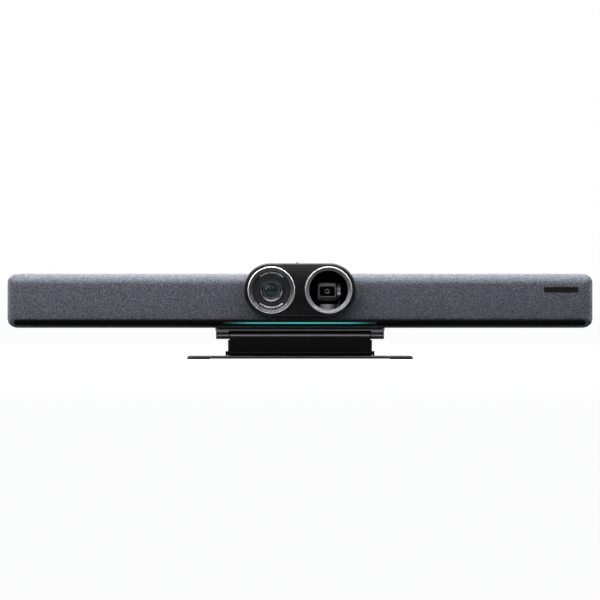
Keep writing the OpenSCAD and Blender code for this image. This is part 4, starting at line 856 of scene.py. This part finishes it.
# the pod's face and rings
def make_pod_face():
    face = (0, POD_Z, POD_SPAN + POD_R, POD_R, POD_R)
    profile = eased([(-0.25, -36.5), (0, -36.7), (0, -37.5), (-1.2, -39.5), (-2.2, -39.5)], 0.16, 3)
    holes = [rod(x, EYE_Z, 34.5, -45, -30, "Y", 32) for x in (-LENS_X, LENS_X)]
    mesh = shaped(loft(face, profile, steps=32), holes)
    make_piece("pod_face", mesh, "pod_plastic", "pod_plastic", ["pod_fascia"], smooth=32)


def make_rings():
    """Each ring is a dark bezel with a thin bright land turned round its mouth."""
    dark = [(33.45, -39.5), (34.2, -40.35), (34.5, -40.4), (35.3, -39.9), (35.4, -39.52), (34.4, -39.52),
            (34.4, -36.5), (33.5, -36.5)]
    land = [(33.3, -40.75), (33.45, -41), (33.62, -41), (34.2, -40.6), (34.2, -40.2), (33.5, -39.45),
            (33.3, -39.4)]
    for side, name, centre, node in (("left", "lens_bezel", LENS, "wide_lens_ring"),
                                     ("right", "window_bezel", EYE, "window_ring")):
        turned_piece(name, centre, dark, "bezel_black", "ring_metal", [node])
        # The land takes the lighter painted copy of the ring metal on the left and the darker painted copy
        # on the right.
        turned_piece("bright_land_" + side, centre, land, "ring_metal_" + side, "ring_metal",
                     ease=0.08, steps=40)


make_pod_face()
make_rings()


# what repeats: ridges and scale marks
class GeoNet(Net):
    """The same builder for a repeated shape, with named sizes."""

    def __init__(self, name, sizes):
        tree = bpy.data.node_groups.new(name, "GeometryNodeTree")
        for way in ("INPUT", "OUTPUT"):
            tree.interface.new_socket("Geometry", in_out=way, socket_type="NodeSocketGeometry")
        self.keys = add_inputs(tree, {**sizes, "Finish": "Material"})
        super().__init__(tree)
        self.given = self.add("NodeGroupInput").outputs
        self.out = self.add("NodeGroupOutput").inputs

    def row(self):
        """A row of points, one for each copy, and how far along the row each one is."""
        count = self.given["Count"]
        number = self.first("GeometryNodeInputIndex")
        share = self.math("DIVIDE", number, self.math("SUBTRACT", count, 1.0))
        return self.first("GeometryNodeMeshLine", {"Count": count}), number, share

    def copies(self, line, place, thing, size, turn):
        placed = self.first("GeometryNodeSetPosition", {"Geometry": line, "Position": place})
        rotation = self.first("FunctionNodeEulerToRotation", {0: turn})
        return self.first("GeometryNodeInstanceOnPoints", {
            "Points": placed, "Instance": thing, "Scale": size, "Rotation": rotation})

    def circle(self, count, radius):
        return self.first("GeometryNodeCurvePrimitiveCircle", {"Resolution": count, "Radius": radius})

    def real(self, geometry):
        return self.first("GeometryNodeRealizeInstances", {0: geometry})

    def end(self, geometry):
        """Makes the copies real and gives them the finish."""
        coated = self.first("GeometryNodeSetMaterial", {
            "Geometry": self.real(geometry), "Material": self.given["Finish"]})
        self.feed(self.out["Geometry"], coated)
        return self


def grown_piece(name, net, sizes, material, smooth, slot="funnel_black"):
    """Grows a repeated shape with these sizes and keeps the result as one plain piece."""
    seed = put("seed", bpy.data.meshes.new("seed"))
    change = seed.modifiers.new("grow", "NODES")
    change.node_group = net.tree
    for label, value in {**sizes, "Finish": PAINT[material]}.items():
        change[net.keys[label]] = value
    seed.update_tag()
    make_piece(name, finished_shape(seed), material, slot, smooth=smooth)


def ridge_tree():
    """Fine rings down the inside of a funnel, round an axis that runs front to back."""
    net = GeoNet("funnel_ridges", {
        "Count": 9, "Front Radius": 0.033, "Back Radius": 0.028, "Front": -0.04, "Back": -0.035,
        "Wire": 0.0002, "Centre X": 0.0, "Centre Z": 0.0})
    g = net.given
    line, _, share = net.row()
    depth = net.between(share, 0.0, 1.0, g["Front"], g["Back"])
    radius = net.between(share, 0.0, 1.0, g["Front Radius"], g["Back Radius"])
    place = net.combine(g["Centre X"], depth, g["Centre Z"])
    rings = net.copies(line, place, net.circle(144, 1.0), net.grey(radius), (math.radians(90), 0, 0))
    tube = {"Curve": net.real(rings), "Profile Curve": net.circle(6, g["Wire"])}
    return net.end(net.first("GeometryNodeCurveToMesh", tube))


def tick_tree():
    """Short raised marks along an arc of a lens face, with every third one longer."""
    net = GeoNet("scale_ticks", {
        "Count": 15, "Radius": 0.0254, "Middle": 1.57, "Sweep": 1.3, "Length": 0.0014, "Width": 0.0004,
        "Height": 0.0002, "Centre": "Vector"})
    g = net.given
    line, number, share = net.row()
    angle = net.math("MULTIPLY_ADD", net.math("SUBTRACT", share, 0.5), g["Sweep"], g["Middle"])
    x, z = (net.times(net.math(way, angle), g["Radius"]) for way in ("COSINE", "SINE"))
    place = net.vector("ADD", net.combine(x, 0.0, z), g["Centre"])
    third = net.math("LESS_THAN", net.math("MODULO", number, 3.0), 0.5)
    length = net.times(g["Length"], net.math("MULTIPLY_ADD", third, 0.8, 0.7))
    bar = net.first("GeometryNodeMeshCube", {"Size": (1, 1, 1)})
    turn = net.combine(0.0, net.times(angle, -1.0))
    return net.end(net.copies(line, place, bar, net.combine(length, g["Height"], g["Width"]), turn))


RIDGES, TICKS = ridge_tree(), tick_tree()


def ridged(name, x, count, front, back, wire, material, slot):
    """Ridges from a front place to a back place, each given as (radius, y)."""
    grown_piece(name, RIDGES, {
        "Count": count, "Front Radius": mm(front[0]), "Back Radius": mm(back[0]), "Front": mm(front[1]),
        "Back": mm(back[1]), "Wire": mm(wire), "Centre X": mm(x), "Centre Z": mm(EYE_Z)},
        material, 80, slot)


# the wide lens on the left
FUNNEL_OUT = [(31.4, -32.7), (33.4, -32.7), (33.4, -38.9), (33.3, -39.0), (33.3, -40.5)]
FUNNEL_BACK = [(28.3, -34.5), (31.4, -34.5)]


def make_wide_lens():
    cone = FUNNEL_OUT + [(32.7, -40.5), (32.2, -40.0), (28.3, -34.9)] + FUNNEL_BACK
    turned_piece("wide_funnel", LENS, cone, "funnel_black", "funnel_black", ["wide_lens_funnel"])
    ridged("wide_funnel_ridges", -LENS_X, 6, (32.6, -40.35), (28.7, -35.3), 0.2, "ridge_metal",
           "funnel_black")
    body = [(31.3, -34.4), (31.3, -32.4), (18, -32.4), (18, -4.4), (6.5, -4.4), (6.5, -9.3), (8.02, -9.3),
            (8.02, -27.6), (12.22, -27.6), (12.22, -33.2), (13.4, -33.2), (14.0, -33.7), (14.1, -33.6),
            (16.2, -35.3), (16.8, -35.6), (17.7, -35.6), (18.1, -35.2), (18.5, -34.75), (20.9, -34.6),
            (21.1, -34.45), (23.8, -34.4), (24.0, -34.6), (27.0, -34.6), (27.3, -34.4)]
    turned_piece("wide_barrel", LENS, body, "face_black", "funnel_black", ["wide_lens_barrel"])
    cup = [(12.35, -33.55), (13.3, -33.75), (14.05, -33.95), (16.3, -35.65), (16.9, -35.9),
           (17.7, -35.85), (17.9, -35.65), (16.8, -35.62), (14.1, -33.62), (12.35, -33.25)]
    turned_piece("lens_cup", LENS, cup, "cup_satin", "ring_metal", ease=0.06, steps=32)
    band = [(11.0, -33.2), (11.25, -33.3), (12.0, -33.3), (12.2, -33.1), (12.2, -31.9), (11.0, -31.9)]
    turned_piece("glass_retainer", LENS, band, "retainer_dark", "ring_metal", ["wide_lens_retainer"],
                 ease=0.1, steps=24)
    ball, reach, span = 17, 10.9, 39.9
    radii = [reach * math.sin(math.radians(a)) / math.sin(math.radians(span))
             for a in (0, 6, 12, 18, 24, 30, 35, span)]
    glass = [(r, -35.75 + ball - ball * math.sqrt(1 - (r / ball) ** 2)) for r in radii]
    glass += [(10.9, -31.8), (12.1, -31.8), (12.1, -27.8), (8.3, -27.8)]
    glass += [(8.2, -27.9), (6.6, -29.9), (4.4, -31.3), (2.2, -32.1), (0, -32.35)]
    turned_piece("front_lens", LENS, glass, "lens_glass", "lens_glass", ["wide_front_element"],
                 ease=0, steps=24, smooth=30)
    baffle = [(8.0, -27.55), (8.0, -24.4), (7.2, -24.4), (7.2, -25.0), (6.5, -25.0), (6.5, -25.6),
              (5.6, -25.6), (5.6, -26.2), (7.6, -27.3)]
    turned_piece("lens_baffle", LENS, baffle, "iris_dark", "funnel_black", ease=0.1, steps=20)
    inner = [(0, -27.3), (1.5, -27.2), (3.0, -26.85), (4.4, -26.25), (5.5, -25.5), (5.5, -24.2),
             (3.5, -23.4), (1.5, -23.1), (0, -23.0)]
    turned_piece("second_lens", LENS, inner, "inner_glass", "lens_glass", ease=0, steps=20)
    runs = ((115, 28, 11), (84.5, 18, 7), (60, 20, 8), (236, 10, 4), (255, 16, 7), (276, 15, 6),
            (299, 20, 8))
    for number, (middle, sweep, count) in enumerate(runs, 1):
        grown_piece(f"scale_marks_{number}", TICKS, {
            "Count": count, "Radius": mm(25.6), "Middle": math.radians(middle),
            "Sweep": math.radians(sweep), "Length": mm(1.9), "Width": mm(0.95), "Height": mm(0.14),
            "Centre": (mm(-LENS_X), mm(-34.63), mm(EYE_Z))}, "print_white", 0)


# the window and the small camera behind it
def make_window():
    cone = FUNNEL_OUT + [(32.8, -40.5), (32.2, -40.1), (28.5, -35.2), (28.3, -34.9)] + FUNNEL_BACK
    turned_piece("grey_funnel", EYE, cone, "funnel_grey", "funnel_grey", ["window_funnel"])
    ridged("grey_funnel_ridges", LENS_X, 5, (32.6, -40.4), (29.2, -36.1), 0.18, "ridge_dull",
           "funnel_grey")


def make_small_camera():
    front = PAN_Y - 15.0
    head_part = {"slot": "gimbal_plastic", "body": "gimbal_head"}

    def ahead(profile):
        return [(r, front + y) for r, y in profile]

    head = slab((PAN_X, TILT_Z - 0.9, 13.9, 13.1, 3.6), front, PAN_Y + 10.5, 3.2, steps=8, rounds=8)
    window = (PAN_X, TILT_Z, 11.25, 7.5, 2.4)
    pocket = loft(window, ahead([(0, -1), (0, 1.0)]), steps=6)
    bore = rod(PAN_X, TILT_Z, 5.1, front - 1, front + 10.1, "Y", 12)
    wedge = loft([(front - 2, 84), (front + 8.2, 84), (front + 0.2, 91.3), (front - 2, 91.3)],
                 [(0, PAN_X - 20), (0, PAN_X + 20)], axis="X")
    shell = shaped(head, [wedge, pocket, bore], edge=0.5, angle=40)
    axle = rod(PAN_Y, TILT_Z, 2.5, PAN_X + 10.2, PAN_X + 17.4)
    make_piece("camera_head", joined(shell, axle), "gimbal_plastic",
               replaces=["head_shell"], smooth=30, **head_part)
    lip = ahead([(0.02, 0.3), (-0.02, -0.15), (0.5, -0.28), (0.95, -0.12), (1.0, 0.3)])
    make_piece("eye_frame", loft(window, lip, closed=True, steps=6), "eye_trim",
               smooth=40, **head_part)
    pane = slab((PAN_X, TILT_Z, 11.1, 7.35, 2.3), front + 0.05, front + 0.9, 0.25, steps=6)
    hole = rod(PAN_X, TILT_Z, 4.0, front - 1, front + 2, "Y", 12)
    make_piece("eye_pane", shaped(pane, [hole]), "eye_gloss", "eye_gloss", ["head_window"],
               "gimbal_head", smooth=30)
    bowl = ahead([(0, 1.6), (1.2, 1.66), (2.4, 1.9), (3.4, 2.3), (4.2, 2.9), (5.0, 3.4), (5.0, 9.9),
                  (0, 9.9)])
    turned_piece("eye_lens", (PAN_X, TILT_Z), bowl, "inner_glass", "lens_glass", ["head_lens"],
                 "gimbal_head", 0, 12, 30, closed=False)
    ring = ahead([(4.0, 0.2), (4.0, 0.7), (3.3, 1.3), (2.6, 1.55), (2.6, 1.75), (4.9, 1.75), (4.9, 1.0),
                  (4.05, 1.0)])
    turned_piece("eye_ring", (PAN_X, TILT_Z), ring, "retainer_dark", ease=0.06, steps=14, **head_part)


make_wide_lens()
make_window()
make_small_camera()


# the stand
EAR_IN, EAR_OUT = 107.6, 110.6
NECK_Y = 2.72
RISER_END = 104.5


def screw_hole(x, y, low, high, shaft, head, from_below):
    """A cutter for a countersunk hole along Z."""
    wide = head + 0.3
    rise = head - shaft + 0.3
    if from_below:
        line = [(wide, low - 0.3), (shaft, low - 0.3 + rise), (shaft, high + 1)]
    else:
        line = [(shaft, low - 1), (shaft, high + 0.3 - rise), (wide, high + 0.3)]
    return loft(disc(x, y, 0.0), line, axis="Z", steps=6)


def make_base():
    plate = loft((0, 1, 165, 38, 10), [(0, 1.1), (0, 4.3)], axis="Z", steps=8)
    notch = brick(-EAR_IN, EAR_IN, 27.9, 45, 0, 10)
    holes = [screw_hole(x, y, 1.1, 4.3, 2.75, 4.6, False) for x in (-124, 124) for y in (-24, 16)]
    neck = [(HINGE_Y - NECK_Y, 3.5), (HINGE_Y + NECK_Y, 3.5), (HINGE_Y + NECK_Y, LOWER_Z)]
    neck += arc_points(HINGE_Y, LOWER_Z, PIN_R, 5, 175, 14) + [(HINGE_Y - NECK_Y, LOWER_Z)]
    ears = [loft(neck, [(0, low), (0, high)], axis="X")
            for low, high in ((-EAR_OUT, -EAR_IN), (EAR_IN, EAR_OUT))]
    bore = rod(HINGE_Y, LOWER_Z, 1.62, -125, 125, steps=5)
    mesh = shaped(plate, [notch, *holes, bore], ears, edge=0.55, rounds=3)
    make_piece("stand_base", mesh, "base_paint", "stand_paint", ["base_plate"], "base", smooth=30)
    for side, name in ((-1, "pad_left"), (1, "pad_right")):
        pad = slab((side * 148.7, 1, 16.2, 36.5, 8.6), 0, 1.1, 0.3, axis="Z", steps=6, rounds=2)
        make_piece(name, pad, "rubber", "rubber", ["base_pads"] if side < 0 else [], "base")


def riser_side():
    """The riser's section, seen along X: a foot round the lower pin and a flat panel."""
    foot, top = LOWER_Z + 2.4, UPPER_Z
    right = [(2.56, foot - 0.6), (3.0, foot), (4, foot + 1.0), (4, top - 3.4)]
    points = arc_points(HINGE_Y, LOWER_Z, PIN_R, 180, 360, 12) + [(HINGE_Y + y, z) for y, z in right]
    return points + [(HINGE_Y - y, z) for y, z in reversed(right)]


def make_riser():
    shoulder = RISER_END - 0.35
    ends = [(-0.35, -RISER_END), (0, -shoulder), (0, shoulder), (-0.35, RISER_END)]
    body = shaped(loft(riser_side(), ends, axis="X"),
                  [rod(HINGE_Y, LOWER_Z, 1.65, -110, 110, steps=6)])
    flap = brick(-106.8, 106.8, 29.9, 30.7, 3.7, 10.6)
    make_piece("riser", joined(body, flap), "riser_paint", "stand_paint", ["riser_panel"],
               "riser", smooth=25)
    shoulder = RISER_END - 0.45
    pipe = [(0, -RISER_END), (0.45, -shoulder), (0.45, shoulder), (0, RISER_END),
            (-3.05, RISER_END), (-3.05, -RISER_END)]
    barrel = loft(disc(HINGE_Y, UPPER_Z, 5.55), pipe, axis="X", closed=True, steps=14)
    line = [(29.1, 8.7), (29.95, 8.6), (29.95, 10.2), (29.5, 9.65)]
    foot = loft(line, [(0, -104.0), (0, 104.0)], axis="X")
    make_piece("riser_barrel", joined(barrel, foot), "barrel_paint", "stand_paint",
               body="riser", smooth=30)
    rings = [loft(disc(HINGE_Y, z, 0.0), [(big, low), (big, high), (small, high), (small, low)],
                  axis="X", closed=True, steps=8)
             for z, big, small, reach in ((LOWER_Z, 2.9, 1.7, 107.5), (UPPER_Z, 5.9, 2.55, 105.35))
             for low, high in ((-reach, -104.4), (104.4, reach))]
    make_piece("hinge_washers", joined(*rings), "rubber", "rubber", body="riser")
    caps = [slab((HINGE_Y, 18.95, 4.0, 8.75, 1.0), x - 1.14, x + 1.14, 0.65, axis="X", steps=4)
            for x in (-105.66, 105.66)]
    make_piece("riser_side_strips", joined(*caps), "cap_gloss", "cap_gloss",
               ["riser_end_caps"], "riser")


def make_leaf():
    low, high = 41.8, 45.7
    plate = loft((0, 12.9, 124.6, 26, 6), [(0, low), (0, high)], axis="Z", steps=8)
    holes = [screw_hole(x, y, low, high, 1.6, 3.1, True) for x in (-96, 96) for y in (-3, 22)]
    lip = brick(-106.0, 106.0, 37.4, 38.7, 39.6, 42.2)
    mesh = shaped(plate, holes, [lip], edge=0.5, rounds=3)
    make_piece("leaf", mesh, "stand_paint", "stand_paint", ["mount_leaf"], smooth=30)
    line = arc_points(HINGE_Y, UPPER_Z, 6, 142, 398, 34) + [(HINGE_Y + 4.68, 41.75), (HINGE_Y - 4.68, 41.75)]
    for name, span, hollow in (("knuckle_left", (-124.6, -105.4), (-121.9, -105)),
                               ("knuckle_right", (105.4, 124.6), (105, 121.9))):
        barrel = loft(line, [(0, x) for x in span], axis="X")
        mesh = shaped(barrel, [rod(HINGE_Y, UPPER_Z, 4.05, *hollow)], edge=0.6, rounds=3, angle=50)
        make_piece(name, mesh, "barrel_paint", "stand_paint", ["tilt_" + name], smooth=30)


make_base()
make_riser()
make_leaf()


# parts that keep the shape they were made with
OWN_FINISH = {"pod_shell": "shell_plastic", "pan_drum": "drum_grey", "gimbal_arm": "arm_grey",
              "tilt_motor": "motor_metal"}


def dress_nodes():
    """Gives every carried-over part its finish by its own name, or by the name of its slot."""
    for name, node in nodes.items():
        for place in node.material_slots:
            base = OWN_FINISH.get(name, place.material.name.split(".")[0])
            # Painted light and shade: the one ring metal goes on as a lighter copy on the left and a darker
            # copy on the right.
            if base == "ring_metal":
                base = "ring_metal_left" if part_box(name)[0].x < 0 else "ring_metal_right"
            if base in PAINT:
                place.material = PAINT[base]


dress_nodes()


# camera, floor, light
def make_camera():
    data = bpy.data.cameras.new("photo_camera")
    data.sensor_width, data.lens = 36.0, 164.1
    data.clip_start, data.clip_end = 0.05, 100.0
    scene.camera = put("photo_camera", data, (0.0, -4.027, 0.08665), (math.radians(90), 0, 0))


def bare_net(owner):
    """An empty recipe, with what tells that a ray is seen, and that it is mirrored or bent."""
    owner.use_nodes = True
    owner.node_tree.nodes.clear()
    net = Net(owner.node_tree)
    rays = net.add("ShaderNodeLightPath").outputs
    sharp = net.math("MAXIMUM", rays["Is Glossy Ray"], rays["Is Transmission Ray"])
    return net, rays["Is Camera Ray"], sharp


def make_floor():
    mesh = bpy.data.meshes.new("floor")
    half, level = 12.0, -0.0001
    corners = [(x * half, y * half, level) for x, y in ((-1, -1), (1, -1), (1, 1), (-1, 1))]
    mesh.from_pydata(corners, [], [(0, 1, 2, 3)])
    floor = put("floor", mesh)
    material = bpy.data.materials.new("pale_floor")
    mesh.materials.append(material)
    net, seen, sharp = bare_net(material)
    place = object_place(net)
    across, depth = net.parts(place)[:2]
    # Painted shade: for bounced light the floor's colour fades almost to black in front of the bar, so
    # little light bounces up onto the bar's underside.
    near = net.between(depth, -0.075, -0.03, 0.01, 1.0, smooth=True)
    # Painted reflection: for mirrored and bent rays the floor glows white near the bar and fades out half a
    # metre in front of it.
    painted_reflection_reach = net.between(depth, -0.5, -0.3, smooth=True)
    worn = net.between(net.noise(place, 7.0, 3.0), 0.3, 0.7, 0.94, 1.0)
    # Painted shadow: under the bar that glow is cut to a quarter.
    under = net.times(net.between(net.math("ABSOLUTE", depth), 0.11, 0.06, smooth=True),
                      net.between(net.math("ABSOLUTE", across), 0.52, 0.44, smooth=True))
    glow_with_painted_shadow = net.times(painted_reflection_reach, net.math("MULTIPLY_ADD", under, -0.75, 1.0))
    bounce_with_painted_shade = net.first("ShaderNodeBsdfDiffuse", {"Color": net.grey(net.times(net.times(worn, near), 0.26))})
    glow = net.first("ShaderNodeEmission", {"Color": WHITE, "Strength": glow_with_painted_shadow})
    lit = net.first("ShaderNodeBsdfDiffuse", {"Color": (0.3, 0.3, 0.3, 1)})
    bright = net.first("ShaderNodeEmission", {"Color": WHITE, "Strength": 0.9})
    pale = net.first("ShaderNodeAddShader", {0: lit, 1: bright})
    shown = net.blend(seen, net.blend(sharp, bounce_with_painted_shade, glow), pale)
    below = net.add("ShaderNodeNewGeometry").outputs["Backfacing"]
    gone = net.blend(net.times(below, seen), shown, net.first("ShaderNodeBsdfTransparent"))
    net.add("ShaderNodeOutputMaterial", {"Surface": gone})


def make_world():
    world = bpy.data.worlds.new("white_studio")
    scene.world = world
    net, seen, sharp = bare_net(world)
    depth = net.parts(net.add("ShaderNodeTexCoord").outputs["Generated"])[1]
    behind = net.between(depth, -0.1, 0.25, 0.03, 1.0, smooth=True)
    around = net.between(depth, -0.3, 0.5, 0.03, 0.5, smooth=True)
    fill, mirror, white = (
        net.first("ShaderNodeBackground", {"Color": colour, "Strength": level})
        for colour, level in (((0.95, 0.98, 1.0, 1), around), (WHITE, behind), (WHITE, 1.0)))
    net.add("ShaderNodeOutputWorld", {"Surface": net.blend(seen, net.blend(sharp, fill, mirror), white)})


def soft_box(name, place, aim, size, level):
    """A rectangular lamp. Its level is the brightness of its face, where 1 is white."""
    data = bpy.data.lights.new(name, "AREA")
    data.shape = "RECTANGLE"
    data.size, data.size_y = size
    data.energy = level * math.pi * size[0] * size[1]
    turn = (Vector(aim) - Vector(place)).to_track_quat("-Z", "Y").to_euler()
    put(name, data, place, turn).visible_camera = False


make_camera()
make_floor()
make_world()
soft_box("top_strip", (0, -0.04, 0.36), (0, -0.04, 0.12), (1.3, 0.2), 14.5)
soft_box("front_card", (0, -0.25, 0.30), (0, -0.02, 0.16), (1.3, 0.24), 0.62)
soft_box("key_left", (-0.55, -0.62, 0.62), (0, 0, 0.1), (0.3, 0.3), 4.6)
soft_box("side_left", (-1.08, -0.4, 0.4), (0, -0.02, 0.1), (0.7, 0.5), 4.3)
soft_box("side_right", (1.1, -0.3, 0.3), (0, -0.02, 0.08), (0.65, 0.36), 2.6)
scene.view_settings.view_transform = "Standard"
